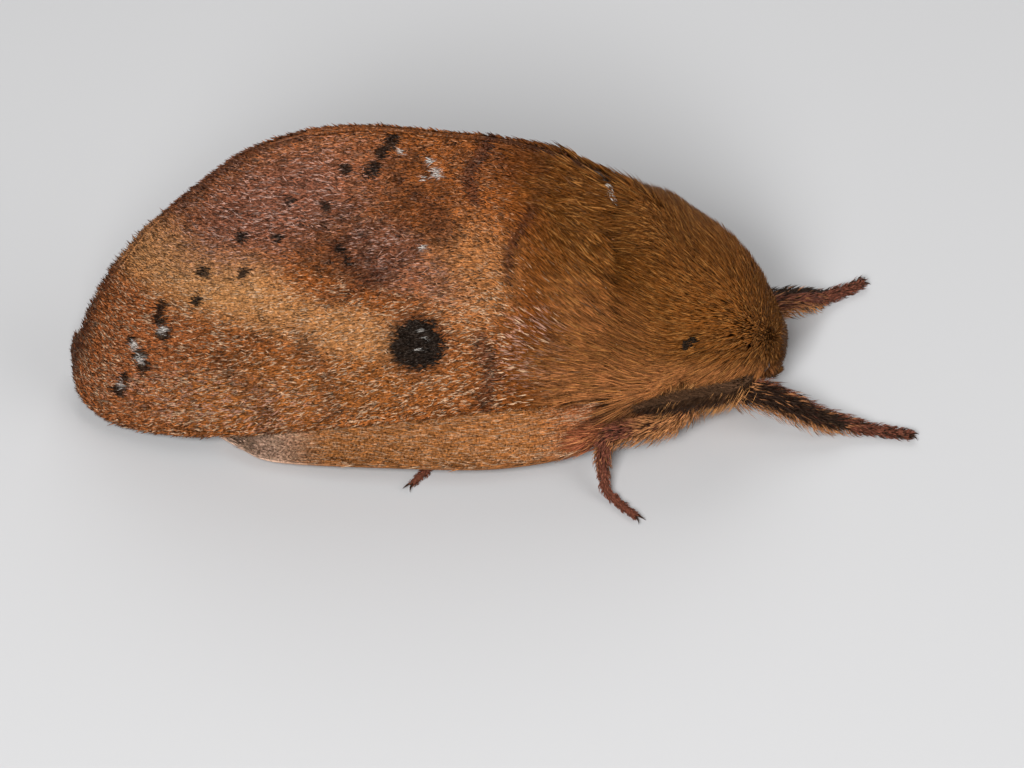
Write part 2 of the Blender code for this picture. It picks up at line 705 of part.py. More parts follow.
def tube(name, path, radii, finish, count=8, sides=10, flat_sole=False, squash=1.0):
    curve = spline(path, count)
    thick = np.interp(np.linspace(0, 1, count), np.linspace(0, 1, len(radii)), radii)
    rings = tube_rings(curve, thick, sides, squash)
    poles = np.array([curve[0], curve[-1]])
    if flat_sole:
        rings[..., 2] = np.maximum(rings[..., 2], 0.0)
    return lofted(name, rings, poles, finish)


def surface_of(obj):
    """A search tree over a made solid, with its points back in the moth's own frame."""
    mesh = obj.data
    points = [Vector(np.array(vertex.co) / MM + CENTRE) for vertex in mesh.vertices]
    return BVHTree.FromPolygons(points, [tuple(face.vertices) for face in mesh.polygons])


def rooted(carrier, near, gap=GAP):
    """The point off the carrier's surface nearest to the place given, and outwards there."""
    place, normal, _, _ = carrier.find_nearest(Vector(near))
    return np.array(place + normal * gap), np.array(normal)


def trimmed(path, start=0.0, end=0.0):
    """The same path with a length taken off its start and off its end."""
    path = [np.array(point, float) for point in path]
    for cut, (at, towards) in ((start, (0, 1)), (end, (-1, -2))):
        step = path[towards] - path[at]
        path[at] = path[at] + step * cut / np.linalg.norm(step)
    return path


def leg(name, plan, body):
    finish = material("leg_fur", LEG_RED, 0.8)
    root, _ = rooted(body, plan["root"], LEG_GAP)
    path = [root, *plan["path"]]
    knee, ankle = LEG_JOINTS[name.split("_")[0]]
    femur = trimmed(path[: knee + 1], end=JOINT_TRIM)
    tibia = trimmed(path[knee : ankle + 1], start=JOINT_TRIM, end=JOINT_TRIM)
    tarsus = trimmed(path[ankle:], start=JOINT_TRIM)
    upper = tube(f"{name}_femur", femur, FEMUR_RADII, finish)
    lower = tube(f"{name}_tibia", tibia, TIBIA_RADII, finish, count=6)
    foot = tube(f"{name}_tarsus", tarsus, TARSUS_RADII, finish, count=11, sides=8, flat_sole=True)
    claws(foot, tarsus, finish)
    return [(upper, femur), (lower, tibia)]


def palp(name, side, carrier):
    path = [np.array(point) * np.array([1.0, side, 1.0]) for point in PALP_PATH]
    root, _ = rooted(carrier, path[0])
    finish = material("head_fur", FUR_DARK, 0.85)
    tube(name, [root, *path[1:]], PALP_RADII, finish, count=6, sides=8)


def antenna(name, side, carrier):
    path = [np.array(point) * np.array([1.0, side, 1.0]) for point in ANTENNA_PATH]
    root, outwards = rooted(carrier, path[0])
    path = [root, root + outwards * 0.4, *path[1:]]
    finish = material("antenna_comb", ANTENNA_GREY, 0.8)
    comb(tube(name, path, (ANTENNA_RADII[0], *ANTENNA_RADII), finish, count=20, sides=7), path, finish)


def build():
    clear_scene()
    chest = thorax()
    skull = head()
    body, skull_tree = surface_of(chest), surface_of(skull)
    abdomen()
    for word, side in (("right", -1), ("left", 1)):
        eye(f"eye_{word}", side)
        palp(f"palp_{word}", side, skull_tree)
        antenna(f"antenna_{word}", side, skull_tree)
        forewing(f"forewing_{word}", side)
        hindwing(f"hindwing_{word}", side)
    segments = []
    for name, plan in LEGS.items():
        segments += leg(name, plan, body)
    add_coats(chest, skull, segments)


def add_coats(chest, skull, segments):
    """The locks come last, so that each can be tried against all the other nodes."""
    nodes = {obj: surface_of(obj) for obj in list(bpy.context.scene.collection.objects)}
    for obj, path in segments:
        others = [tree for other, tree in nodes.items() if other is not obj]
        fringe(obj, path, others, material("leg_fur", LEG_RED, 0.8))
        nodes[obj] = surface_of(obj)
    for obj, height, size, finish in (
        (skull, HEAD_CENTRE[2], HEAD_LOCKS, material("head_fur", FUR_DARK, 0.85)),
        (chest, THORAX_STATIONS[3][2], THORAX_LOCKS, material("thorax_fur", FUR_BROWN, 0.8)),
    ):
        others = [tree for other, tree in nodes.items() if other is not obj]
        coat(obj, height, size, others, finish)
        nodes[obj] = surface_of(obj)


build()
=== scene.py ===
import bpy
import math
import numpy as np
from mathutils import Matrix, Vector


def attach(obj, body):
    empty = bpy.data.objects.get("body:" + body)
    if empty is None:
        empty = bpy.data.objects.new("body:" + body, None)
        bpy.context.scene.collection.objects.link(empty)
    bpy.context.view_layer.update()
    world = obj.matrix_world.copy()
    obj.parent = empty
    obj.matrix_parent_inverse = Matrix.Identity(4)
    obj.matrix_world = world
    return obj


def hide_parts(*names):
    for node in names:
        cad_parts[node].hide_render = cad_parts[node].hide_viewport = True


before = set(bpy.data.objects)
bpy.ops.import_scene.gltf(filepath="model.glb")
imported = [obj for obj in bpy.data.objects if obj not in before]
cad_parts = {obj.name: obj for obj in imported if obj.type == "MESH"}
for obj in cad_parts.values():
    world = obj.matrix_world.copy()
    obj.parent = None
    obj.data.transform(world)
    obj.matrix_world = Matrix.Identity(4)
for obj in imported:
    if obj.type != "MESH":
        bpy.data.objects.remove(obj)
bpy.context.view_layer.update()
scene = bpy.context.scene
rng = np.random.default_rng(11)
mm = 0.001
# The moth's own frame is in millimetres: +X forward, +Y its left. This much is taken off to reach the origin.
mothCentre = np.array([2.8, 0.0, 0.0])
print("the frame is loaded:", len(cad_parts), "solids")


# colours and nodes
def linear(hexColour):
    # each sRGB channel c becomes c / 12.92 below 0.04045, and ((c + 0.055) / 1.055) ^ 2.4 above
    channels = np.array([int(hexColour[i : i + 2], 16) for i in (1, 3, 5)]) / 255
    return np.where(channels < 0.04045, channels / 12.92, ((channels + 0.055) / 1.055) ** 2.4)


def addNode(tree, kind, settings={}, links={}):
    node = tree.nodes.new(kind)
    for name, value in settings.items():
        if name in node.inputs.keys():
            node.inputs[name].default_value = value
        else:
            setattr(node, name, value)
    for name, socket in links.items():
        tree.links.new(socket, node.inputs[name])
    return node


def newMaterial(name, roughness, specular=0.5, glint="#ffffff"):
    made = bpy.data.materials.new(name)
    made.use_nodes = True
    shader = made.node_tree.nodes["Principled BSDF"]
    shader.inputs["Roughness"].default_value = roughness
    shader.inputs["Specular IOR Level"].default_value = specular
    shader.inputs["Specular Tint"].default_value = (*linear(glint), 1)
    return made, made.node_tree, shader


def coatMaterial(name, roughness, grain, mottle, bump, glint):
    # the piece's own colour attribute, mottled by noise whose grain is a real size in mm, and a fine bump
    made, tree, shader = newMaterial(name, roughness, 0.3, glint)
    place = addNode(tree, "ShaderNodeTexCoord").outputs["Object"]
    colour = addNode(tree, "ShaderNodeAttribute", {"attribute_name": "coat"}).outputs["Color"]
    grains = {"Scale": 1 / (grain * mm), "Detail": 3.0}
    speckle = addNode(tree, "ShaderNodeTexNoise", grains, {"Vector": place})
    spans = {"From Min": 0.3, "From Max": 0.7, "To Min": 1 - mottle, "To Max": 1 + mottle}
    spread = addNode(tree, "ShaderNodeMapRange", spans, {"Value": speckle.outputs["Fac"]})
    mixed = addNode(tree, "ShaderNodeMix", {"data_type": "RGBA", "blend_type": "MULTIPLY"})
    mixed.inputs[0].default_value = 1.0
    tree.links.new(colour, mixed.inputs[6])
    tree.links.new(spread.outputs["Result"], mixed.inputs[7])
    tree.links.new(mixed.outputs[2], shader.inputs["Base Color"])
    depth = {"Strength": bump, "Distance": grain * mm * 0.5}
    raised = addNode(tree, "ShaderNodeBump", depth, {"Height": speckle.outputs["Fac"]})
    tree.links.new(raised.outputs["Normal"], shader.inputs["Normal"])
    return made


# Moth scales are flat overlapping flakes of chitin, dull with a faint golden sheen.
scaleFinish = coatMaterial("wingScaleChitin", 0.4, 0.12, 0.35, 0.6, "#ffe9d6")
# The thorax pile is of fine hair-like scales, silky along their length.
pileFinish = coatMaterial("silkyPileHair", 0.45, 0.1, 0.2, 0.3, "#ffd2a6")
# Skin under the coat, seen only between the hairs.
skinFinish = coatMaterial("darkCuticle", 0.7, 0.15, 0.3, 0.6, "#ffd2a6")


# building surfaces
brightest = 0.85  # the most that a coat's colour may reflect
floorClear = 0.01  # how far hair tips stay above the floor, mm
wingMap = 0.48  # the share of a wing's map that its upper side takes
sides = (("right", -1), ("left", 1))


def inMetres(points):
    return (np.asarray(points, float) - mothCentre) * mm


def plain(hexColour, shape):
    # the same colour at every place
    return np.broadcast_to(linear(hexColour), shape)


def mix(colour, other, share):
    return colour * (1 - share[..., None]) + linear(other) * share[..., None]


def layered(colours, ground, shape, layers):
    # the ground colour, with each named colour laid over it by its share from 0 to 1
    colour = plain(colours[ground], (*shape, 3))
    for name, share in layers:
        colour = mix(colour, colours[name], share)
    return colour


def varied(colours, low, high):
    # each tuft is darker or brighter by its own chance
    return colours * rng.uniform(low, high, (len(colours), 1))


def keepHue(colours):
    # a colour too bright is scaled down as a whole, so that it doesn't turn yellow
    return colours / np.maximum(colours.max(-1, keepdims=True) / brightest, 1)


def makeMesh(name, points, faces, material, colours=None, uv=None, smooth=True):
    # faces is an array of triangles; colours is one per point; uv is one per point
    mesh = bpy.data.meshes.new(name)
    mesh.vertices.add(len(points))
    mesh.vertices.foreach_set("co", inMetres(points).astype(np.float32).ravel())
    faces = np.asarray(faces, np.int32)
    mesh.loops.add(faces.size)
    mesh.loops.foreach_set("vertex_index", faces.ravel())
    mesh.polygons.add(len(faces))
    mesh.polygons.foreach_set("loop_start", np.arange(0, faces.size, 3, dtype=np.int32))
    mesh.polygons.foreach_set("loop_total", np.full(len(faces), 3, np.int32))
    mesh.polygons.foreach_set("use_smooth", np.full(len(faces), smooth))
    if colours is not None:
        attribute = mesh.color_attributes.new("coat", "FLOAT_COLOR", "POINT")
        rgba = np.ones((len(points), 4), np.float32)
        rgba[:, :3] = colours
        attribute.data.foreach_set("color", rgba.ravel())
    if uv is not None:
        layer = mesh.uv_layers.new(name="OFBake")
        layer.data.foreach_set("uv", np.asarray(uv, np.float32)[faces.ravel()].ravel())
    mesh.update()
    mesh.validate()
    mesh.materials.append(material)
    obj = bpy.data.objects.new(name, mesh)
    scene.collection.objects.link(obj)
    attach(obj, "root")
    return obj


def gridFaces(rows, columns):
    # two triangles for each cell of a rows x columns grid of points
    a = (np.arange(rows - 1)[:, None] * columns + np.arange(columns - 1)[None]).ravel()
    across = a + columns + 1
    return np.concatenate([np.stack([a, a + 1, across], 1), np.stack([a, across, across - 1], 1)])


def spline(points, count):
    # Catmull-Rom curve through the points, resampled evenly by length
    points = np.array(points, float)
    padded = np.vstack([2 * points[0] - points[1], points, 2 * points[-1] - points[-2]])
    t = np.linspace(0, 1, 16, endpoint=False)[None, :, None]
    p0, p1, p2, p3 = (padded[i : i + len(points) - 1][:, None] for i in range(4))
    square, cube = 2 * p0 - 5 * p1 + 4 * p2 - p3, 3 * p1 - p0 - 3 * p2 + p3
    fine = 0.5 * (2 * p1 + (p2 - p0) * t + square * t**2 + cube * t**3)
    fine = np.vstack([fine.reshape(-1, points.shape[1]), points[-1:]])
    length = np.concatenate([[0], np.cumsum(np.linalg.norm(np.diff(fine, axis=0), axis=1))])
    wanted = np.linspace(0, length[-1], count)
    return np.stack([np.interp(wanted, length, fine[:, i]) for i in range(points.shape[1])], 1)


def resample(points, shares):
    # the curve's places at shares of its length
    curve = spline(points, 300)
    at = np.linspace(0, 1, len(curve))
    return np.stack([np.interp(shares, at, curve[:, i]) for i in range(curve.shape[1])], -1)


def along(points, x):
    # the other measures of the curve, read at places along the body
    curve = spline(points, 240)
    curve = curve[np.argsort(curve[:, 0])]
    return [np.interp(x, curve[:, 0], curve[:, i]) for i in range(1, curve.shape[1])]


def smoothStep(value):
    value = np.clip(value, 0, 1)
    return value * value * (3 - 2 * value)


def unit(vectors):
    return vectors / np.maximum(np.linalg.norm(vectors, axis=-1, keepdims=True), 1e-9)


def gridNormals(points):
    # the cross product of the grid's two directions
    return unit(np.cross(np.gradient(points, axis=0), np.gradient(points, axis=1)))


def scatter(points, normals, count, weight=None):
    # random places on a grid surface: cells are chosen by area times weight, then blended between corners
    rows, columns = points.shape[:2]
    corner = points[:-1, :-1]
    area = np.linalg.norm(np.cross(points[1:, :-1] - corner, points[:-1, 1:] - corner), axis=2)
    if weight is not None:
        area = area * weight[:-1, :-1]
    share = np.cumsum(area.ravel())
    cell = np.minimum(np.searchsorted(share / share[-1], rng.random(count)), area.size - 1)
    r, c = cell // (columns - 1), cell % (columns - 1)
    s, t = rng.random((2, count, 1))

    def blend(values):
        low = values[r, c] * (1 - t) + values[r, c + 1] * t
        high = values[r + 1, c] * (1 - t) + values[r + 1, c + 1] * t
        return low * (1 - s) + high * s

    u = (r + s[:, 0]) / (rows - 1)
    v = (c + t[:, 0]) / (columns - 1)
    return blend(points), unit(blend(normals)), u, v


def fromGrid(values, u, v):
    # the grid's value nearest to each pair of shares
    cells = (np.minimum((part * size).astype(int), size - 1) for part, size in zip((u, v), values.shape))
    return values[tuple(cells)]


def gridShares(rows, columns, inset=0.0):
    # each point's share of the way along the grid's two directions
    spans = np.linspace(inset, 1 - inset, rows), np.linspace(inset, 1 - inset, columns)
    return np.meshgrid(*spans, indexing="ij")


def mapPlace(u, v, high=0.98):
    # where the shares along and across a skin lie on its map
    return np.stack([u * 0.98 + 0.01, v * high + 0.01], -1)


# A tuft has three corners round its root, three round its middle, and its tip. A scale has no middle.
tuftFaces = np.array([(0, 1, 4), (0, 4, 3), (1, 2, 5), (1, 5, 4), (2, 0, 3), (2, 3, 5), (3, 4, 6), (4, 5, 6),
                      (5, 3, 6), (0, 2, 1)])
tuftPatch = np.array([(0, 0), (1, 0), (0.5, 0.3), (0, 0.6), (1, 0.6), (0.5, 0.8), (0.5, 1)]) * 0.003
scaleFaces = np.array([(0, 1, 3), (1, 2, 3), (2, 0, 3), (0, 2, 1)])
scalePatch = tuftPatch[[0, 1, 2, 6]]


def makeCoat(name, points, corners, patch, colours, shade, rootUv, material):
    # points holds all tufts; corners and patch are one tuft's triangles and its place on the map
    points[..., 2] = np.maximum(points[..., 2], floorClear)
    count, each = points.shape[:2]
    faces = (corners[None] + np.arange(count)[:, None, None] * each).reshape(-1, 3)
    # the shade factors are painted shade at each tuft's root and a painted highlight at its tip
    tint = keepHue(colours[:, None] * np.array(shade)[None, :, None]).reshape(-1, 3)
    uv = (np.clip(rootUv, 0, 0.997)[:, None] + patch[None]).reshape(-1, 2)
    makeMesh(name, points.reshape(-1, 3), faces, material, tint, uv)


def tuftFrame(roots, normals, lies, sizes, turn):
    # all turned to the piece's own side, the lie laid flat on the skin, and the sizes as columns
    roots, normals, lies = roots * turn, normals * turn, lies * turn
    lies = unit(lies - normals * np.sum(lies * normals, 1, keepdims=True))
    return roots, normals, lies, np.cross(normals, lies), *(np.reshape(size, (-1, 1)) for size in sizes)


def makeScales(name, roots, normals, lies, sizes, colours, rootUv, material, shade=(0.35, 1.55), turn=1):
    # short straight flakes: sizes are the length along the lie, the root's width and the tip's lift
    roots, normals, lies, across, length, width, lift = tuftFrame(roots, normals, lies, sizes, turn)
    half, sunk = width * 0.5, 0.04
    base = roots - normals * sunk
    points = np.stack([base - across * half, base + across * half, base + normals * (half * 0.8 + sunk),
                       roots + lies * length + normals * lift], 1)
    # the root's corners take painted shade and the tip a painted highlight
    shade = [shade[0]] * 3 + [shade[1]]
    makeCoat(name, points, scaleFaces, scalePatch, colours, shade, rootUv, material)


def makeTufts(name, roots, normals, lies, sizes, colours, rootUv, shade=(0.5, 0.95, 1.2), turn=1):
    # three-sided tapered hairs: the middle goes half the length along the lie and rises by 0.72 of the lift
    roots, normals, lies, across, length, width, lift = tuftFrame(roots, normals, lies, sizes, turn)
    middle = roots + lies * length * 0.5 + normals * lift * 0.72
    base = roots - normals * 0.06
    points = np.stack([
        base - across * width * 0.5, base + across * width * 0.5, base + normals * width * 0.5,
        middle - across * width * 0.42, middle + across * width * 0.42, middle + normals * width * 0.35,
        roots + lies * length + normals * lift,
    ], 1)
    # painted shade at the root, less at the middle, and a painted highlight at the tip
    shade = [shade[0]] * 3 + [shade[1]] * 3 + [shade[2]]
    makeCoat(name, points, tuftFaces, tuftPatch, colours, shade, rootUv, pileFinish)


# markings
# Places are pixels of the photograph, which picturePlace turns into mm along and up the moth's side.
marks = {
    "pixel": 0.0443,  # mm
    "column": 430, "row": 366, "height": 0.75,  # this pixel is at X = 0 and this far up the picture, mm
    # the spot's soft edges and the dots' sizes are in pixels too; a dot is its middle and its radius
    "spot": {"at": (421, 343), "radius": 26, "edge": 14, "haloEdge": 26},
    "dots": ((396, 145, 6), (387, 156, 6), (377, 175, 6), (380, 168, 5), (351, 172, 5.5), (331, 208, 4.5),
             (296, 203, 4), (283, 240, 5), (248, 239, 5), (250, 273, 5), (210, 273, 5.5), (203, 302, 4.5),
             (167, 307, 5), (166, 320, 6), (171, 334, 7), (138, 340, 4), (145, 355, 6.5), (149, 367, 6),
             (130, 379, 5.5), (124, 391, 5), (352, 262, 4), (345, 250, 4), (590, 166, 4), (603, 184, 4)),
    "whiteDots": ((441, 175, 4.5), (434, 164, 2.5), (428, 180, 2.5), (405, 155, 2.5), (168, 330, 3.8),
                  (140, 346, 4), (146, 359, 4), (125, 385, 2.8), (426, 331, 1.6), (430, 338, 1.8),
                  (424, 349, 1.6), (427, 249, 3)),
    # each band: its corners, half its width and its strength
    "bands": (
        (((563, 172), (547, 212), (516, 250), (510, 285)), 6, 0.75),
        (((490, 150), (473, 178), (478, 205)), 7, 0.7),
        (((452, 232), (400, 262), (362, 292), (330, 300)), 8, 0.35),
        (((485, 340), (497, 372), (490, 402)), 9, 0.6),
        (((562, 340), (572, 372), (566, 398)), 7, 0.6),
        (((300, 330), (330, 372), (335, 412)), 9, 0.4),
        (((225, 360), (262, 392), (275, 430)), 9, 0.4),
        (((430, 200), (455, 250), (440, 300)), 10, 0.25),
        # this band is painted shade along the joint of the wing and the thorax
        (((590, 158), (606, 180), (614, 196)), 3, 0.7),
    ),
    "whiteArcs": (((556, 152), (578, 161)), ((592, 172), (608, 184)), ((606, 184), (612, 200))),
    "slit": ((679, 348), (686, 342)),
}
wingColours = {
    "main": "#965526", "base": "#713c12", "gold": "#e3a366", "purple": "#8a5641", "umber": "#4e2712",
    # glint is the colour of painted highlights on single scales
    "plum": "#4f2c20", "frost": "#d8b0a0", "tail": "#b56a3c", "glint": "#f6cda6", "black": "#15100d",
    "white": "#e9e2da", "edge": "#45231a", "lower": "#a96a33",
}
# ellipses in the picture: middle, half sizes, turn in degrees, strength
wingRegions = {
    "ground": (
        ("tail", ((110, 380), (120, 90), 60, 0.8)),
        ("lower", ((300, 390), (190, 45), 5, 0.5)),
        ("gold", ((205, 272), (112, 40), -22, 0.95)),
        ("gold", ((340, 330), (90, 26), -12, 0.6)),
        ("gold", ((470, 280), (60, 60), 0, 0.3)),
    ),
    "purple": (((278, 207), (118, 54), 22, 1.0), ((400, 262), (80, 30), -30, 0.7)),
    "plum": (((368, 240), (56, 46), -30, 1.0),),
    "umber": (((425, 200), (38, 62), 25, 1.0), ((345, 262), (60, 20), -30, 1.0),
              ((530, 160), (90, 34), -8, 0.8)),
    "umberPatch": (((262, 350), (66, 26), 8, 1.0),),
    "rosy": (((545, 350), (60, 40), 0, 1.0), ((215, 400), (120, 30), -8, 1.0)),
}
pileColours = {
    "olive": "#683c15", "light": "#814b1a", "lower": "#ab6d3f", "dark": "#3b210a", "glint": "#a5713a",
    "smudge": "#3b271a", "abdomenBrown": "#7a4c26", "belly": "#c98d55", "deep": "#2b1708",
    "black": "#15100d",
}
pileRegions = {"tan": ((590, 335), (75, 50), -15, 0.5), "smudge": ((612, 409), (44, 13), 12, 0.75)}


def picturePlace(x, v):
    # a pixel's place along the moth and its height across the picture, for the moth's right side
    along = (np.asarray(x) - marks["column"]) * marks["pixel"]
    return along, (marks["row"] - np.asarray(v)) * marks["pixel"] + marks["height"]


def sideHeight(points):
    # 0.743 of the height less 0.669 of the distance out: how high a place shows from 42 degrees above
    return points[..., 2] * 0.7431 - np.abs(points[..., 1]) * 0.6691


def softSpot(x, h, at, radius, edge):
    cx, cy = picturePlace(*at)
    distance = np.hypot(x - cx, h - cy) / marks["pixel"]
    return smoothStep((radius + edge / 2 - distance) / edge)


def byScale(cover, jitter):
    # a scale is wholly marked where the cover beats its own chance
    return smoothStep((cover - jitter * 0.8) * 5)


def softLine(x, h, corners, half):
    # falls off with the distance to the nearest of the line's parts
    best = np.full(x.shape, 1e9)
    for (ax, av), (bx, bv) in zip(corners, corners[1:]):
        (ax, ay), (bx, by) = picturePlace(ax, av), picturePlace(bx, bv)
        t = np.clip(((x - ax) * (bx - ax) + (h - ay) * (by - ay)) / ((bx - ax) ** 2 + (by - ay) ** 2), 0, 1)
        best = np.minimum(best, np.hypot(x - ax - t * (bx - ax), h - ay - t * (by - ay)))
    return smoothStep(1.5 - best / marks["pixel"] / half)


def softRegion(x, h, at, radii, turn, strength):
    # an ellipse that fades from its middle to its edge
    cx, cy = picturePlace(*at)
    a = math.radians(turn)
    lengthwise = (x - cx) * math.cos(a) + (h - cy) * math.sin(a)
    crosswise = (h - cy) * math.cos(a) - (x - cx) * math.sin(a)
    distance = np.hypot(lengthwise / (radii[0] * marks["pixel"]), crosswise / (radii[1] * marks["pixel"]))
    return smoothStep(1.35 - distance) * strength


def wingRegion(x, h, name):
    # the strongest of the ellipses of that name
    return np.maximum.reduce([softRegion(x, h, *part) for part in wingRegions[name]])


def ripple(x, h, scale, seed):
    # a few crossed sine waves, about -1 to 1, that roughen the edges of the markings
    waves = np.random.default_rng(seed).uniform(-1, 1, (5, 3))
    total = sum(np.sin((x * a + h * b) / scale * 3 + c * 6) for a, b, c in waves)
    return total / 3


def wingColour(x, h, jitter):
    # regions with ragged edges, pale frosted scales, painted glints, bands, dots and the spot, laid over each
    # other
    wobble = ripple(x, h, 1.3, 3) * 0.25 + ripple(x, h, 0.5, 4) * 0.12
    x, h = x + wobble * 0.6, h + wobble * 0.5
    dotX, dotH = x - wobble * 0.5, h - wobble * 0.4  # less ragged
    purple, umber = wingRegion(x, h, "purple"), wingRegion(x, h, "umber")
    # fewer painted glints where the wing is purple or dark and near the ridge
    paintedGlintShare = (1 - purple) * (1 - umber * 0.8) * (0.25 + 0.75 * smoothStep((5.8 - h) / 2.5))
    spot = marks["spot"]
    radius = spot["radius"] * (1 + 0.12 * ripple(dotX, dotH, 0.4, 6))
    return layered(wingColours, "main", x.shape, [
        ("base", smoothStep((x - 1) / 6)),
        *((name, softRegion(x, h, *part)) for name, part in wingRegions["ground"]),
        ("purple", purple * 0.9),
        ("plum", wingRegion(x, h, "plum") * (0.6 + 0.3 * ripple(x, h, 0.6, 12))),
        ("frost", purple * (jitter > 0.8) * 0.7),
        ("umber", umber * (0.55 + 0.3 * ripple(x, h, 0.45, 9))),
        ("umber", wingRegion(x, h, "umberPatch") * (0.22 + 0.15 * ripple(x, h, 0.5, 15))),
        ("frost", wingRegion(x, h, "rosy") * (jitter > 0.68) * (jitter < 0.86) * 0.5),
        ("glint", (jitter < 0.2) * paintedGlintShare * 0.8),
        *(("edge", softLine(x, h, corners, half) * strength) for corners, half, strength in marks["bands"]),
        *(("white", softLine(x, h, corners, 1.4) * 0.35) for corners in marks["whiteArcs"]),
        *(("black", byScale(softSpot(dotX, dotH, (px, pv), r + 1, r), jitter) * 0.93)
          for px, pv, r in marks["dots"]),
        ("edge", softSpot(dotX, dotH, spot["at"], spot["radius"] * 1.25, spot["haloEdge"]) * 0.6),
        ("black", byScale(softSpot(dotX, dotH, spot["at"], radius, spot["edge"]), jitter) * 0.97),
        *(("white", softSpot(dotX, dotH, (px, pv), r, r) * 0.95) for px, pv, r in marks["whiteDots"]),
    ])


def smudge(x, h):
    # the dark patch behind the antenna's tip
    return softRegion(x, h, *pileRegions["smudge"])


def pileColour(points, jitter):
    # olive brown above, lighter along the side, tan below and darker round the whorl, with painted glints on
    # some hairs
    x, h = points[:, 0], sideHeight(points)
    return layered(pileColours, "olive", x.shape, [
        ("light", smoothStep(1 - np.abs(h - 3.2) / 3.5) * 0.7),
        ("lower", softRegion(x, h, *pileRegions["tan"])),
        ("dark", smoothStep((x - 13.3) / 2.2) * 0.55),
        ("lower", smoothStep((1.3 - h) / 1.3) * 0.9),
        ("glint", (jitter > 0.8) * 0.55),
        ("smudge", smudge(x, h)),
        ("deep", (jitter < 0.15) * 0.6),
    ])


# forewings
forewing = {
    "baseX": 8.6, "ridgeOut": 0.09, "ridgeDrop": 0.38, "bulge": 0.35,
    # the outline in side view, X and height; the lower edge has X, distance out and height
    "ridge": ((8.6, 12.0), (7.3, 12.7), (5.9, 13.6), (3.2, 14.55), (0.9, 14.85), (-2.6, 15.25), (-5.2, 15.0)),
    "termen": ((-5.2, 15.0), (-8.0, 13.65), (-11.25, 10.4), (-12.85, 8.4), (-14.4, 5.4), (-15.3, 2.4),
               (-15.7, 0.9)),
    "costa": ((8.6, 4.35, 3.2), (4.6, 4.4, 2.65), (1.95, 4.55, 2.45), (-0.4, 4.7, 2.2), (-3.5, 4.7, 1.8),
              (-5.8, 4.7, 1.5), (-8.0, 4.75, 1.3), (-10.6, 4.5, 1.0), (-13.3, 3.5, 0.62), (-14.8, 2.3, 0.55),
              (-15.7, 0.95, 0.9)),
    "veins": (0.1, 0.24, 0.36, 0.47, 0.57, 0.67, 0.76, 0.85, 0.93), "veinHeight": 0.09, "veinWidth": 0.012,
    "thickness": 0.3, "rows": 120, "columns": 84, "skinShade": 0.75,
    "scales": 42000, "scaleSize": (0.36, 0.11, 0.1),  # length, width and lift of the tip
    "pile": 7500, "pileFrom": 3.0, "pileWidth": 0.095,
    "fringe": 6000, "fringeWidth": 0.12, "fringeLift": 0.05,
    "fringeShares": (0.35, 0.3, 0.35),  # at the outer margin, the ridge and the lower edge
    "beaded": 90, "beadedWidth": 0.03,
    "leftShort": 0.014, "leftShortFrom": -10,
}


def roofOut(x, height):
    # how far the wings' roof stands out at a height, bulging a little between ridge and lower edge
    (top,) = along(forewing["ridge"] + forewing["termen"][1:], x)
    top = top - forewing["ridgeDrop"]
    costaOut, costaHeight = along(forewing["costa"], x)
    down = (top - height) / np.maximum(top - costaHeight, 0.5)
    down = down + forewing["bulge"] * down * (1 - down)
    return forewing["ridgeOut"] + (costaOut - forewing["ridgeOut"]) * down


def forewingMiddle():
    # a Coons patch: the outline's four edges in side view are blended, then laid on the roof
    uu, vv = gridShares(forewing["rows"], forewing["columns"])
    u, v = uu[:, 0], vv[0]
    inner, costa = resample(forewing["ridge"], u), resample(forewing["costa"], u)[:, [0, 2]]
    inner[:, 1] -= forewing["ridgeDrop"]
    base, termen = inner[0] + (costa[0] - inner[0]) * v[:, None], resample(forewing["termen"], v)
    termen[:, 1] -= forewing["ridgeDrop"] * (1 - v)
    s, t = uu[..., None], vv[..., None]
    flat = (inner[:, None] * (1 - t) + costa[:, None] * t + base[None] * (1 - s) + termen[None] * s
            - inner[0] * (1 - s) * (1 - t) - costa[0] * (1 - s) * t
            - inner[-1] * s * (1 - t) - costa[-1] * s * t)
    return uu, vv, np.stack([flat[..., 0], roofOut(flat[..., 0], flat[..., 1]), flat[..., 1]], -1)


def shell(name, middle, outward, relief, thickness, side, colours):
    # two copies of the grid, half the thickness either side of it and thinner at the rim, joined round the rim
    rows, columns = middle.shape[:2]
    uu, vv = gridShares(rows, columns)
    rim = smoothStep(np.minimum(np.minimum(vv, 1 - vv) / 0.04, np.minimum(uu, 1 - uu) / 0.03))
    half = thickness / 2 * (0.35 + 0.65 * rim)
    turn = np.array([1, side, 1])
    top, bottom = middle + outward * (half + relief)[..., None], middle - outward * half[..., None]
    count = rows * columns
    faces = gridFaces(rows, columns)
    lastRow = (rows - 1) * columns
    edge = np.concatenate([np.arange(columns), np.arange(1, rows) * columns + columns - 1,
                           lastRow + np.arange(columns - 2, -1, -1), np.arange(rows - 2, 0, -1) * columns])
    after = np.roll(edge, -1)
    faces = np.concatenate([faces, faces[:, ::-1] + count, np.stack([edge, edge + count, after + count], 1),
                            np.stack([edge, after + count, after], 1)])
    if side * np.sum(gridNormals(middle) * outward) > 0:
        faces = faces[:, ::-1]
    points = np.concatenate([(top * turn).reshape(-1, 3), (bottom * turn).reshape(-1, 3)])
    uv = mapPlace(uu, vv, wingMap).reshape(-1, 2)
    uv = np.concatenate([uv, uv + (0, 0.5)])
    # the underside copy is made a fifth darker than the upper side: painted shade
    shades = np.concatenate([colours.reshape(-1, 3), colours.reshape(-1, 3) * 0.8])
    return makeMesh(name, points, faces, scaleFinish, shades, uv)


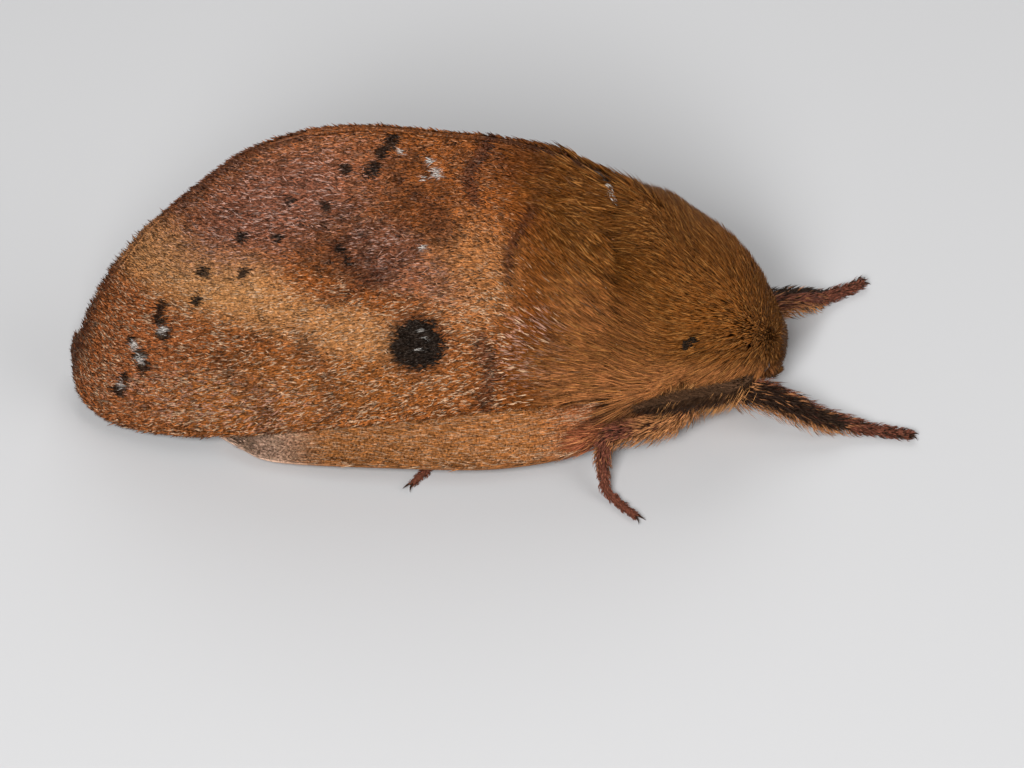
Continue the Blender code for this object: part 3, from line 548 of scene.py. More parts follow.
def wingLie(middle, u, v):
    # straight back on the outer wing, and up towards the ridge as well near the thorax
    back, down = unit(np.gradient(middle, axis=0)), unit(np.gradient(middle, axis=1))
    _, vv = gridShares(*middle.shape[:2])
    forward = 0.75 * smoothStep((middle[..., 0] - 1.0) / 4.5)
    tilt = forward * smoothStep((vv - 0.12) / 0.22) * (1 - 0.75 * smoothStep((vv - 0.6) / 0.3))
    return fromGrid(back - down * tilt[..., None], u, v)


def atMargin(u):
    # 1 at the wing's outer edge and 0 a fortieth of the way in
    return smoothStep((u - 0.975) / 0.02)


def makeForewing(word, side):
    uu, vv, middle = forewingMiddle()
    if side > 0:
        # the left wing's tip is folded in a little behind the right one's
        past = np.minimum(middle[..., 0] - forewing["leftShortFrom"], 0)
        middle[..., 0] += forewing["leftShort"] * past**2
    outward = gridNormals(middle)
    outward *= np.sign(outward[..., 1:2].mean())
    relief = sum(np.exp(-(((vv - vein) / forewing["veinWidth"]) ** 2)) for vein in forewing["veins"])
    # the veins fade towards the margin
    relief = relief * forewing["veinHeight"] * smoothStep((1.02 - uu) / 0.2)
    ground = wingColour(middle[..., 0], sideHeight(middle), np.full(uu.shape, 0.5)) * forewing["skinShade"]
    ground = mix(ground, wingColours["edge"], atMargin(uu))
    skin = shell(f"forewingSkin_{word}", middle, outward, relief, forewing["thickness"], side, ground)
    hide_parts(f"forewing_{word}")
    surface = middle + outward * (forewing["thickness"] / 2 + relief)[..., None]
    turn = np.array([1, side, 1])
    forewingScales(word, turn, middle, surface, outward)
    forewingPile(word, turn, middle, surface, outward)
    makeFringe(word, turn, middle, outward)
    beadedHairs(word, turn, surface, outward)


def forewingScales(word, turn, middle, surface, outward):
    # fewer where the pile covers them
    weight = 1 - 0.7 * smoothStep((middle[..., 0] - forewing["pileFrom"] - 2) / 2)
    roots, normals, u, v = scatter(surface, outward, forewing["scales"], weight)
    lies = wingLie(middle, u, v) + rng.normal(0, 0.3, roots.shape)
    length, width, lift = forewing["scaleSize"]
    lengths, widths = length * rng.uniform(0.7, 1.3, len(u)), width * rng.uniform(0.8, 1.2, len(u))
    colours = varied(wingColour(roots[:, 0], sideHeight(roots), rng.random(len(u))), 0.2, 1.8)
    colours = mix(colours, wingColours["edge"], atMargin(u) * 0.65)
    sizes = lengths, widths, lift * rng.uniform(0.4, 1.6, len(u))
    makeScales(f"forewingScales_{word}", roots, normals, lies, sizes, colours,
               mapPlace(u, v, wingMap), scaleFinish, turn=turn)


def forewingPile(word, turn, middle, surface, outward):
    # the thorax pile runs on over the wing's base and shortens into the scales
    weight = smoothStep((middle[..., 0] - forewing["pileFrom"]) / 2.5) + 1e-6
    roots, normals, u, v = scatter(surface, outward, forewing["pile"], weight)
    near = smoothStep((roots[:, 0] - forewing["pileFrom"]) / 5)
    jitter = rng.random(len(u))
    lies = wingLie(middle, u, v) + rng.normal(0, 0.14, roots.shape)
    x, h = roots[:, 0], sideHeight(roots)
    share = smoothStep(near + ripple(x, h, 1.2, 8) * 0.2)[:, None]
    ours = wingColour(x, h, 0.15 + 0.85 * jitter)  # fewer glints than the scales have
    colours = varied(ours * (1 - share) + pileColour(roots, jitter) * share, 0.55, 1.45)
    lengths = (0.6 + 0.8 * near) * rng.uniform(0.8, 1.2, len(u))
    sizes = lengths, forewing["pileWidth"], (0.14 + 0.1 * near) * rng.uniform(0.6, 1.4, len(u))
    makeTufts(f"forewingPile_{word}", roots, normals, lies, sizes, colours,
              mapPlace(u, v, wingMap), (0.6, 0.9, 1.15), turn)


def beadedHairs(word, turn, surface, outward):
    # white hairs with dark ends in small arcs by the ridge, where the wing meets the thorax
    x, h = surface[..., 0], sideHeight(surface)
    weight = sum(softLine(x, h, corners, 1.2) for corners in marks["whiteArcs"]) + 1e-9
    roots, normals, u, v = scatter(surface, outward, forewing["beaded"], weight)
    lies = np.array([0.45, 0.2, -1.0]) + rng.normal(0, 0.2, roots.shape)
    chance = rng.random(len(u))
    colours = mix(plain(wingColours["white"], roots.shape), wingColours["black"], (chance > 0.7) * 0.9)
    sizes = rng.uniform(0.25, 0.5, len(u)), forewing["beadedWidth"], rng.uniform(0.2, 0.34, len(u))
    makeTufts(f"beadedHairs_{word}", roots, normals, lies, sizes, colours,
              mapPlace(u, v, wingMap), turn=turn)


def makeFringe(word, turn, middle, outward):
    # hair-scales along the outer margin, the ridge and the lower edge, pointing off the wing
    edgeRow = middle[-1], outward[-1], middle[-1] - middle[-3]
    # at the ridge they lie over the rim, so that the two wings close
    ridgeUp = np.broadcast_to([0, -0.25, 1.0], middle[:, 0].shape)
    ridgeRow = middle[:, 0] + np.array([0, -0.03, 0.08]), ridgeUp, np.gradient(middle[:, 0], axis=0)
    costaLie = np.gradient(middle[:, -1], axis=0) + np.array([0, 0.03, -0.1])
    costaRow = middle[:, -1], outward[:, -1], costaLie
    roots, normals, lies, uvs = [], [], [], []
    for (line, normal, lie), share in zip((edgeRow, ridgeRow, costaRow), forewing["fringeShares"]):
        onMargin = line is edgeRow[0]
        at = rng.random(int(forewing["fringe"] * share)) * (len(line) - 1.001)
        low, part = at.astype(int), (at % 1)[:, None]
        roots.append(line[low] * (1 - part) + line[low + 1] * part)
        normals.append(unit(normal[low]))
        lies.append(unit(lie[low]) + rng.normal(0, 0.2, (len(at), 3)) * (0.6 if onMargin else 1.0))
        place, fixed = at / len(line), np.full(len(at), 0.99 if onMargin else 0.01)
        uvs.append(np.stack([fixed, place * wingMap] if onMargin else [place, fixed], 1))
    roots, normals, lies, uvs = (np.concatenate(part) for part in (roots, normals, lies, uvs))
    roots = roots - unit(lies) * 0.1
    dark = np.where(roots[:, 0] < -5.5, 0.35, 0.2)
    colours = wingColour(roots[:, 0], sideHeight(roots), rng.random(len(roots)))
    colours = mix(colours, wingColours["edge"], dark)
    sizes = rng.uniform(0.22, 0.42, len(roots)), forewing["fringeWidth"], forewing["fringeLift"]
    makeScales(f"forewingFringe_{word}", roots, normals, lies, sizes,
               varied(colours, 0.7, 1.4), uvs, scaleFinish, turn=turn)


for sideWord, sideSign in sides:
    makeForewing(sideWord, sideSign)
print("forewings made")


# hindwings
hindwing = {
    "baseX": 8.45, "baseEdgeX": 6.9, "innerHeight": 10.0, "innerTailX": -6.0, "tailX": -9.3, "tailBulge": 2.4,
    "under": 1.15,  # how far it lies inside the forewing
    "bendAbove": 1.6, "bendAt": 0.58,  # where the lobe bends out: mm above the forewing's edge, share across
    "edgeSlope": 6.0,  # of the lobe at its free edge, in degrees
    "edge": ((8.6, 4.6, 0.95), (7.2, 5.35, 0.92), (5.8, 6.0, 0.9), (4.0, 6.45, 0.88), (1.8, 6.65, 0.86),
             (-2.4, 6.45, 0.82), (-5.7, 6.0, 0.6), (-7.35, 5.5, 0.45), (-8.4, 4.7, 0.42), (-9.5, 3.8, 0.42),
             (-11.0, 2.6, 0.5)),
    "thickness": 0.28, "rows": 80, "columns": 56, "scales": 20000, "scaleWidth": 0.1, "skinShade": 0.75,
    "gold": "#c58147", "glint": "#f4c9a2", "dark": "#63371c", "pink": "#fbd0b4", "red": "#935236",
}


def hindwingMiddle():
    # flat under the forewing down to the bend, then a cubic curve out to the lobe's free edge
    aa, bb = gridShares(hindwing["rows"], hindwing["columns"])
    bendAt = hindwing["bendAt"]
    baseX = hindwing["baseX"] + (hindwing["baseEdgeX"] - hindwing["baseX"]) * smoothStep((bb - 0.5) / 0.5)
    tailX = hindwing["innerTailX"] + (hindwing["tailX"] - hindwing["innerTailX"]) * bb
    tailX = tailX - hindwing["tailBulge"] * bb * (1 - bb)
    x = baseX + (tailX - baseX) * aa
    _, costaHeight = along(forewing["costa"], x)
    bendHeight = costaHeight + hindwing["bendAbove"]
    bendOut = roofOut(x, bendHeight) - hindwing["under"]
    height = hindwing["innerHeight"] + (bendHeight - hindwing["innerHeight"]) * np.clip(bb / bendAt, 0, 1)
    out = roofOut(x, height) - hindwing["under"]
    edgeOut, edgeHeight = along(hindwing["edge"], x)
    t = np.clip((bb - bendAt) / (1 - bendAt), 0, 1)
    slope, fall = math.radians(hindwing["edgeSlope"]), bendHeight - edgeHeight
    outs = (bendOut, bendOut + 0.092 * fall, edgeOut - 0.35 * fall * math.cos(slope), edgeOut)
    heights = (bendHeight, bendHeight - 0.92 * fall, edgeHeight + 0.35 * fall * math.sin(slope), edgeHeight)
    weights = ((1 - t) ** 3, 3 * t * (1 - t) ** 2, 3 * t * t * (1 - t), t**3)
    onLobe = bb > bendAt
    out = np.where(onLobe, sum(w * p for w, p in zip(weights, outs)), out)
    height = np.where(onLobe, sum(w * p for w, p in zip(weights, heights)), height)
    return aa, bb, np.stack([x, out, height], -1)


def lobeColour(x, across, jitter):
    # gold with a pinkish tail and a reddish base, streaked by each tuft's own chance, with painted glints on
    # some tufts
    streaked = smoothStep((x + 7) / 3)
    return layered(hindwing, "gold", x.shape, [
        ("pink", smoothStep((-4.0 - x) / 3.0) * 0.9),
        ("red", smoothStep((x - 4.5) / 3) * 0.7),
        ("dark", smoothStep((across - 0.93) / 0.07) * 0.5 * streaked),
        ("glint", (jitter > 0.78) * 0.75),
        ("dark", (jitter < 0.18) * 0.6 * streaked),
    ])


def makeHindwing(word, side):
    aa, bb, middle = hindwingMiddle()
    outward = gridNormals(middle)
    outward *= np.sign(outward[..., 1:2].mean())
    ground = lobeColour(middle[..., 0], bb, np.full(aa.shape, 0.5)) * hindwing["skinShade"]
    flat, thickness = np.zeros_like(aa), hindwing["thickness"]
    skin = shell(f"hindwingSkin_{word}", middle, outward, flat, thickness, side, ground)
    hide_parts(f"hindwing_{word}")
    weight = smoothStep((bb - 0.5) / 0.12) + 0.02
    surface = middle + outward * thickness / 2
    roots, normals, u, v = scatter(surface, outward, hindwing["scales"], weight)
    lies = fromGrid(unit(np.gradient(middle, axis=0)), u, v) + rng.normal(0, 0.14, roots.shape)
    colours = varied(lobeColour(roots[:, 0], v, rng.random(len(u))), 0.35, 1.65)
    lengths = (0.7 + 0.3 * smoothStep((roots[:, 0] - 3) / 4)) * rng.uniform(0.7, 1.3, len(u))
    sizes = lengths, hindwing["scaleWidth"], rng.uniform(0.06, 0.16, len(u))
    makeScales(f"hindwingScales_{word}", roots, normals, lies, sizes, colours,
               mapPlace(u, v, wingMap), scaleFinish, turn=np.array([1, side, 1]))


for sideWord, sideSign in sides:
    makeHindwing(sideWord, sideSign)
print("hindwings made")


# body: thorax, head and abdomen in one skin
eye = {"at": (14.45, 1.1, 2.4), "radius": 0.64, "black": "#120d0a", "facet": 0.05, "rows": 40, "sides": 64}
body = {
    # X, radius of the skin, its middle's height, and the share of the wings' roof shape
    "stations": (
        (-9.2, 0.3, 3.3, 0.0), (-8.6, 0.75, 3.3, 0.0), (-7.4, 1.25, 3.3, 0.0), (-5.5, 1.8, 3.3, 0.0),
        (-3.0, 2.2, 3.3, 0.0), (0.0, 2.35, 3.3, 0.0), (3.0, 2.3, 3.3, 0.0), (5.0, 2.15, 3.3, 0.0),
        (6.8, 2.2, 3.4, 0.0), (8.3, 2.6, 3.8, 0.2), (8.9, 4.2, 5.8, 0.95), (9.6, 4.05, 5.6, 0.62),
        (10.6, 3.75, 5.25, 0.18), (11.5, 3.45, 4.85, 0.0), (12.4, 3.15, 4.4, 0.0), (13.2, 2.75, 4.1, 0.0),
        (13.9, 2.3, 3.7, 0.0), (14.4, 1.95, 3.25, 0.0), (14.75, 1.62, 2.95, 0.0), (15.02, 1.25, 2.72, 0.0),
        (15.2, 0.9, 2.65, 0.0), (15.32, 0.45, 2.65, 0.0), (15.36, 0.1, 2.65, 0.0),
    ),
    "rows": 190, "sides": 120, "skinShade": 0.45,
    "bottom": 1.3,  # the thorax's lowest height
    "whorl": (15.15, 1.0, 3.6),  # where the hairs of the face part, on the left side
    "tentInset": 0.12, "tentDrop": 1.0,  # how far the thorax stays inside the wings' roof, and below its top
    "tentFoot": 0.6,  # the share of the half turn from the top down to the wings' lower edge
    "eyeDent": 0.7, "eyeClear": 0.95,  # how deep and how far the skin sinks round an eye
    "bellyTufts": 5000, "bellySize": (0.9, 0.08, 1.35),  # length, width and lift
    "slitTufts": 130, "slitDepth": 0.68,
    "lobeBaseTufts": 1600, "lobeBaseSpan": ((9.9, 3.3, 2.0), (7.0, 5.0, 1.25)), "lobeBasePale": "#d08a58",
    "crestTufts": 1400, "crestSpan": (8.8, 12.0), "crestSpread": 0.16, "crestWidth": 0.09,
    "tuftWidth": 0.08,
}
piles = {
    # tufts, from X, to X, length, lift, width, slot
    "thoraxPile": (12400, 8.9, 14.6, 1.3, 0.6, 0.078, "thorax_fur"),
    "seamPile": (6000, 8.9, 10.4, 2.5, 0.3, 0.085, "thorax_fur"),
    "headPile": (9000, 14.2, 15.6, 0.9, 0.5, 0.075, "head_fur"),
    "abdomenPile": (3500, -9.3, 8.9, 0.8, 0.2, 0.14, "abdomen_fur"),
}


def tentRing(angle):
    # the roof's section with its foot closed by half an ellipse, for angles from the top round one side
    share, foot = angle / math.pi, body["tentFoot"]
    top, (_, costaOut, costaHeight) = forewing["ridge"][0][1] - body["tentDrop"], forewing["costa"][0]
    height = top - (top - costaHeight) * np.clip(share / foot, 0, 1)
    out = roofOut(np.full_like(height, forewing["baseX"]), np.minimum(height, top)) - body["tentInset"]
    out = np.maximum(out, 0.05) * np.clip(share / 0.05, 0, 1)
    low = np.clip((share - foot) / (1 - foot), 0, 1) * math.pi / 2
    out = np.where(share > foot, (costaOut - body["tentInset"]) * np.cos(low), out)
    return out, np.where(share > foot, costaHeight - (costaHeight - body["bottom"]) * np.sin(low), height)


def bodySurface():
    # rings along X: a circle blended with the wings' roof section
    stations = spline(body["stations"], body["rows"])
    half = np.linspace(0, math.pi, body["sides"] // 2 + 1)
    tentOut, tentHeight = tentRing(half)
    rings = []
    for x, radius, middle, tent in stations:
        out = radius * np.sin(half) * (1 - tent) + tentOut * tent
        height = (middle + radius * np.cos(half)) * (1 - tent) + tentHeight * tent
        out = np.concatenate([out, -out[-2::-1]])
        height = np.concatenate([height, height[-2::-1]])
        rings.append(np.stack([np.full(len(out), x), out, height], 1))
    points = np.array(rings)
    normals = gridNormals(points)
    fromAxis = (points - points.mean(1, keepdims=True)) * (0, 1, 1)
    normals *= np.sign(np.sum(normals * fromAxis))
    # the skin sinks round the eyes, so that their lenses stand free
    dent = body["eyeDent"] * smoothStep(1 - eyeDistance(points) / body["eyeClear"])
    return points - normals * dent[..., None], normals


def eyeDistance(points):
    # how far each point is from the nearer eye's middle
    return np.linalg.norm(points * (1, 0, 1) + np.abs(points) * (0, 1, 0) - eye["at"], axis=-1)


def closedTube(rings, gap):
    # the rings' points with a pole at each end, this far beyond it along X; triangles and places on the map
    rows, columns = rings.shape[:2]
    flat, ring, last = rings.reshape(-1, 3), np.arange(columns - 1), (rows - 1) * columns
    poles = [rings[0].mean(0) - (gap[0], 0, 0), rings[-1].mean(0) + (gap[1], 0, 0)]
    start, end = (np.full(columns - 1, len(flat) + i) for i in (0, 1))
    faces = np.concatenate([gridFaces(rows, columns), np.stack([start, ring + 1, ring], 1),
                            np.stack([end, last + ring, last + ring + 1], 1)])
    uv = np.stack(gridShares(rows, columns, 0.01), -1).reshape(-1, 2)
    return np.concatenate([flat, poles]), faces, np.concatenate([uv, [(0.005, 0.5), (0.995, 0.5)]])


def makeBody():
    rings, normals = bodySurface()
    points, faces, uv = closedTube(rings, (0.15, 0.1))
    if np.sum(gridNormals(rings) * normals) > 0:
        faces = faces[:, ::-1]
    shades = pileColour(points, np.full(len(points), 0.5)) * body["skinShade"]
    skin = makeMesh("bodySkin", points, faces, skinFinish, shades, uv)
    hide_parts("thorax", "head", "abdomen")
    return rings, normals


def lieFromWhorl(roots):
    # away from the whorl on their own side, less sideways near the middle, and unruly close to the whorl
    ones = np.ones(len(roots))
    away = roots - np.array(body["whorl"]) * np.stack([ones, np.sign(roots[:, 1]), ones], 1)
    unruly = np.exp(-((np.linalg.norm(away, axis=1) / 0.5) ** 2))[:, None]
    lies = unit(away) * np.stack([ones, smoothStep(np.abs(roots[:, 1]) / 0.9), ones], 1)
    lies = lies + np.array([-0.35, 0, -0.15]) + rng.normal(0, 0.35, roots.shape) * unruly
    # towards the wings they go back, and up along the sides but less so on top
    height = roots[:, 2]
    rise = 0.75 * smoothStep((height - 1.5) / 2.5) * (1 - smoothStep((height - 7.5) / 2.5))
    behind = np.stack([-ones, 0 * ones, rise], 1)
    share = smoothStep((12.5 - roots[:, 0]) / 2.5)[:, None]
    return lies * (1 - share) + behind * share


def bodyTufts(name, surface):
    # hairs between two places along the body, shorter towards the face and none over the eyes
    count, fromX, toX, length, lift, width, slot = piles[name.split("_")[0]]
    points, normals = surface
    weight = np.where((points[..., 0] > fromX) & (points[..., 0] < toX), 1, 1e-6)
    places = scatter(points, normals, count, weight)
    clear = eyeDistance(places[0]) > body["eyeClear"] * 0.7
    roots, outward, u, v = (place[clear] for place in places)
    lies = lieFromWhorl(roots) + rng.normal(0, 0.1, roots.shape)
    lies[roots[:, 0] < 7.5] = np.array([-1.0, 0, -0.1])
    near = smoothStep((15.4 - roots[:, 0]) / 2.5)
    lengths = length * (0.4 + 0.6 * near) * rng.uniform(0.6, 1.25, len(u))
    # shorter and flatter on top, where they would stand out behind the wings' ridge
    behind, high, level = 11.5 - roots[:, 0], roots[:, 2] - 6.5, outward[:, 2] - 0.6
    lengths = lengths * (1 - 0.25 * smoothStep(high / 3) * smoothStep(behind / 1.5))
    lifts = lift * (0.8 + 0.2 * near) * rng.uniform(0.75, 1.25, len(u))
    lifts = lifts * (1 - 0.5 * smoothStep(level / 0.3) * smoothStep(behind / 2))
    seen = roots + outward * lifts[:, None] + unit(lies) * lengths[:, None] * 0.5
    colours = pileColour(seen, rng.random(len(u)))
    if slot == "abdomen_fur":
        colours = plain(pileColours["abdomenBrown"], colours.shape)
    makeTufts(name, roots, outward, lies, (lengths, width, lifts), varied(colours, 0.5, 1.5),
              mapPlace(u, v), (0.35, 0.85, 1.15))


def bellyPile(surface):
    # pale hairs that stand out sideways and down between the legs' roots
    points, normals = surface
    low = smoothStep((-0.25 - normals[..., 2]) / 0.2) * smoothStep((normals[..., 2] + 0.95) / 0.1)
    weight = low * (points[..., 0] > 9.6) * (points[..., 0] < 14.4) + 1e-9
    roots, outward, u, v = scatter(points, normals, body["bellyTufts"], weight)
    lies = np.array([-1.0, 0, 0]) + rng.normal(0, 0.2, roots.shape)
    colours = varied(plain(pileColours["belly"], roots.shape), 0.5, 1.5)
    reach = smoothStep((roots[:, 0] - 9.2) / 1.2) * rng.uniform(0.6, 1.25, len(u))
    length, width, lift = body["bellySize"]
    makeTufts("bellyPile", roots, outward, lies, (length * reach, width, lift * reach), colours,
              mapPlace(u, v), (0.5, 0.9, 1.15))


def crestPile(surface):
    # hairs along the middle of the thorax's top, which close the parting in front of the wings' ridge
    line = surface[0][:, 0]
    x = rng.uniform(*body["crestSpan"], body["crestTufts"])
    across = rng.normal(0, body["crestSpread"], len(x))
    roots = np.stack([x, across, np.interp(x, line[:, 0], line[:, 2]) - np.abs(across)], 1)
    outward = unit(np.stack([np.full(len(x), 0.3), across * 1.5, np.ones(len(x))], 1))
    near = smoothStep((11.2 - x) / 2)
    lies = np.array([-1.0, 0, 0]) + rng.normal(0, 0.1, roots.shape)
    colours = varied(pileColour(roots, rng.random(len(x))), 0.5, 1.5)
    lengths = (0.9 + 0.7 * near) * rng.uniform(0.7, 1.2, len(x))
    lifts = (0.5 + 0.6 * near) * rng.uniform(0.6, 1.1, len(x))
    uv = np.stack([0.6 + 0.3 * rng.random(len(x)), 0.5 + across * 0.1], 1)
    makeTufts("crestPile", roots, outward, lies, (lengths, body["crestWidth"], lifts), colours,
              uv, (0.35, 0.85, 1.15))


def slitTufts(surface):
    # the small black slit in the right side's pile, as short dark hairs on top of it
    points, normals = surface
    x, h = points[..., 0], sideHeight(points + normals * 0.6)
    weight = softLine(x, h, marks["slit"], 2.2) * (points[..., 1] < 0) * (points[..., 2] > 2) + 1e-12
    roots, outward, u, v = scatter(points, normals, body["slitTufts"], weight)
    lies = lieFromWhorl(roots) + rng.normal(0, 0.1, roots.shape)
    colours = varied(plain(pileColours["black"], roots.shape), 0.5, 1.5)
    sizes = rng.uniform(0.2, 0.35, len(u)), body["tuftWidth"], rng.uniform(0.0, 0.1, len(u))
    roots = roots + outward * body["slitDepth"]
    makeTufts("slitHairs", roots, outward, lies, sizes, colours, mapPlace(u, v))


def lobeBaseHair(word, side):
    # reddish gold hairs from the side of the thorax back over the root of the hindwing's lobe
    t = rng.random((body["lobeBaseTufts"], 1))
    start, end = np.array(body["lobeBaseSpan"])
    roots = start + (end - start) * t + rng.normal(0, 0.16, (len(t), 3))
    outward = unit(np.array([0.1, 1.0, 0.15]) + rng.normal(0, 0.1, roots.shape))
    lies = np.array([-1.0, 0.25, -0.12]) + rng.normal(0, 0.14, roots.shape)
    chance = rng.random(len(t))
    colours = mix(plain(hindwing["red"], roots.shape), body["lobeBasePale"], (chance > 0.6) * 0.6)
    dark = smoothStep((0.55 - t[:, 0]) / 0.2) * (chance < 0.85)
    dusk = np.maximum(dark * 0.8, smudge(roots[:, 0], sideHeight(roots)))
    colours = mix(colours, pileColours["smudge"], dusk)
    sizes = rng.uniform(0.9, 1.7, len(t)), body["tuftWidth"], rng.uniform(0.2, 0.7, len(t)) + dark * 0.3
    uv = np.stack([t[:, 0] * 0.3 + 0.4, chance * 0.1 + 0.7], 1)
    makeTufts(f"lobeBaseHair_{word}", roots, outward, lies, sizes, varied(colours, 0.5, 1.5),
              uv, turn=np.array([1, side, 1]))


bodyShape = makeBody()
for pileName in ("thoraxPile_1", "thoraxPile_2", "thoraxPile_3", "seamPile"):
    bodyTufts(pileName, bodyShape)
for sideWord, sideSign in sides:
    lobeBaseHair(sideWord, sideSign)
bellyPile(bodyShape)
crestPile(bodyShape)
slitTufts(bodyShape)
for pileName in ("headPile", "abdomenPile"):
    bodyTufts(pileName, bodyShape)
print("body and its pile made")


# legs, antennae, palps and eyes
def tubeRings(path, radii, count):
    # circles square to the path: radius x (cos a across + sin a up)
    ahead = unit(np.gradient(path, axis=0))
    level = unit(np.cross(ahead, [0.0, 0.0, 1.0]))
    upright = np.cross(level, ahead)
    angle = np.linspace(0, 2 * math.pi, count + 1)[None, :, None]
    normals = np.cos(angle) * level[:, None] + np.sin(angle) * upright[:, None]
    return path[:, None] + radii[:, None, None] * normals, normals, ahead


def makeTube(name, rings, material, colours):
    points, faces, uv = closedTube(rings, (0, 0))
    shades = np.concatenate([np.repeat(colours, rings.shape[1], 0), colours[[0, -1]]])
    piece = makeMesh(name, points, faces[:, ::-1], material, shades, uv)
    return piece


# from root to toe; on the floor only X and Y are given
legs = {
    "fore_right": ((13.3, -2.4, 2.1), (13.9, -2.6, 1.9), (14.95, -2.75, 1.75), (17.0, -3.25, 1.0),
                   (18.2, -3.25, 0.55), (19.7, -3.4, 0.26), (21.2, -3.65)),
    "fore_left": ((13.3, 2.4, 2.1), (13.9, 2.8, 1.85), (14.9, 3.35, 1.7), (16.4, 4.4, 1.08), (17.3, 5.1, 0.5),
                  (18.2, 5.75, 0.24), (19.2, 6.4)),
    "mid_right": ((11.6, -3.0, 2.3), (11.2, -3.75, 1.9), (10.0, -4.5, 1.65), (7.85, -5.45, 1.65),
                  (7.7, -7.2, 0.6), (8.05, -7.8, 0.28), (8.55, -8.4), (9.1, -9.0)),
    "mid_left": ((11.6, 3.0, 2.3), (11.2, 3.75, 1.9), (9.9, 4.5, 1.65), (7.7, 5.5, 1.65), (7.3, 7.2, 0.6),
                 (7.6, 7.8, 0.28), (8.1, 8.3), (8.6, 8.8)),
    "hind_right": ((6.9, -1.8, 2.0), (6.6, -2.55, 1.2), (5.6, -2.95, 0.8), (3.9, -3.3, 0.6), (1.2, -4.2, 0.4),
                   (0.7, -4.9), (0.0, -5.8), (-0.8, -6.9)),
    "hind_left": ((6.9, 1.8, 2.0), (6.6, 2.55, 1.2), (5.5, 2.95, 0.8), (3.6, 3.3, 0.6), (0.7, 4.2, 0.4),
                  (0.1, 4.9), (-0.7, 5.8), (-1.6, 7.0)),
}
thinLeg = ((0, 0.28), (0.25, 0.34), (0.45, 0.27), (0.6, 0.24), (0.75, 0.16), (1, 0.13))
legLook = {
    "red": "#754334", "black": "#1d1613", "tan": "#b97f4f", "claw": "#2a1812", "skinShade": 0.7,
    # along each leg from root to toe: its radius and its hairs' length; how black its upper hairs are
    # and up to where; how far its root has pale hairs
    "fore": {"radius": ((0, 0.34), (0.2, 0.4), (0.45, 0.33), (0.62, 0.25), (0.8, 0.21), (1, 0.18)),
             "hair": ((0, 0.85), (0.5, 0.6), (0.75, 0.4), (1, 0.3)),
             "black": 0.92, "blackTo": 0.62, "paleTo": 0.12},
    "mid": {"radius": thinLeg, "hair": ((0, 0.8), (0.45, 0.6), (0.6, 0.36), (1, 0.18)),
            "black": 0.12, "blackTo": 0.5, "paleTo": 0.4},
    "hind": {"radius": thinLeg, "hair": ((0, 0.7), (0.45, 0.5), (0.6, 0.36), (1, 0.18)),
             "black": 0.12, "blackTo": 0.5, "paleTo": 0.3},
    "footHeight": 0.2,
    "footFrom": 0.66, "footJoints": 15,  # as many as would fit along the whole leg
    "upperSide": (0.72, 0.69),  # outwards and up, the middle of the black hairs
    "tufts": 2000, "tuftWidth": 0.07, "rows": 90, "sides": 16,
    "clawLength": 0.36, "clawRadius": 0.055, "clawRows": 10,
}


def aheadAt(ahead, u):
    # the tube's own direction at each place along it
    return ahead[np.minimum((u * (len(ahead) - 1)).astype(int), len(ahead) - 1)]


def makeLeg(name, path):
    look = legLook[name.split("_")[0]]
    rows = legLook["rows"]
    path = spline([(*point, legLook["footHeight"])[:3] for point in path], rows)
    share = np.linspace(0, 1, rows)
    radii = np.interp(share, *zip(*look["radius"]))
    # the foot narrows at its joints
    joints = np.abs(((share - legLook["footFrom"]) * legLook["footJoints"]) % 1 - 0.5) * 2
    radii = np.where(share > legLook["footFrom"], radii * (1.08 - 0.25 * joints**3), radii)
    radii[0] *= 0.5
    radii[-1] *= 0.6
    rings, normals, ahead = tubeRings(path, radii, legLook["sides"])
    rings[..., 2] = np.maximum(rings[..., 2], 0.0)
    ground = plain(legLook["red"], (rows, 3)) * legLook["skinShade"]
    skin = makeTube(f"legSkin_{name}", rings, skinFinish, ground)
    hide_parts(f"{name}_femur", f"{name}_tibia", f"{name}_tarsus")
    weight = np.repeat(np.interp(share, (0, 0.6, 0.7, 1), (1, 1, 0.9, 0.9))[:, None], rings.shape[1], 1)
    roots, outward, u, v = scatter(rings, normals, legLook["tufts"], weight)
    lies = aheadAt(ahead, u) + rng.normal(0, 0.15, roots.shape)
    chance = rng.random(len(u))
    colours = legColours(look, outward, u, 1 if path[0, 1] > 0 else -1, chance)
    lengths = np.interp(u, *zip(*look["hair"])) * rng.uniform(0.6, 1.2, len(u))
    lifts = lengths * (0.34 + 0.3 * underside(outward) * beforeFoot(u)) * rng.uniform(0.4, 1.4, len(u))
    # hairs that would dip into the floor lie flat
    roots[:, 2] = np.maximum(roots[:, 2], 0.08)
    tooLow = roots[:, 2] + outward[:, 2] * lifts < 0.02
    lifts[tooLow] = 0.0
    lies[tooLow, 2] = 0.05
    makeTufts(f"legHair_{name}", roots, outward, lies, (lengths, legLook["tuftWidth"], lifts),
              varied(colours, 0.55, 1.45), mapPlace(u, v))
    makeClaws(name, path)


def underside(outward):
    return smoothStep((0.05 - outward[:, 2]) / 0.4)


def beforeFoot(u):
    return 1 - smoothStep((u - 0.6) / 0.15)


def legColours(look, outward, u, side, chance):
    # red, with tan hairs below and here and there, black ones above and pale ones at the root
    out, up = legLook["upperSide"]
    above = outward @ np.array([0, side * out, up]) > 0.55
    dark = np.where(u < look["blackTo"], look["black"], look["black"] * 0.5) * np.where(above, 1.0, 0.12)
    return layered(legLook, "red", u.shape, [
        ("tan", (chance > 0.8) * beforeFoot(u) * 0.6),
        ("tan", underside(outward) * beforeFoot(u) * (chance < 0.8) * 0.85),
        ("black", (chance < dark) * 0.95),
        ("tan", smoothStep((look["paleTo"] - u) / 0.1) * (chance > look["black"]) * 0.8),
    ])


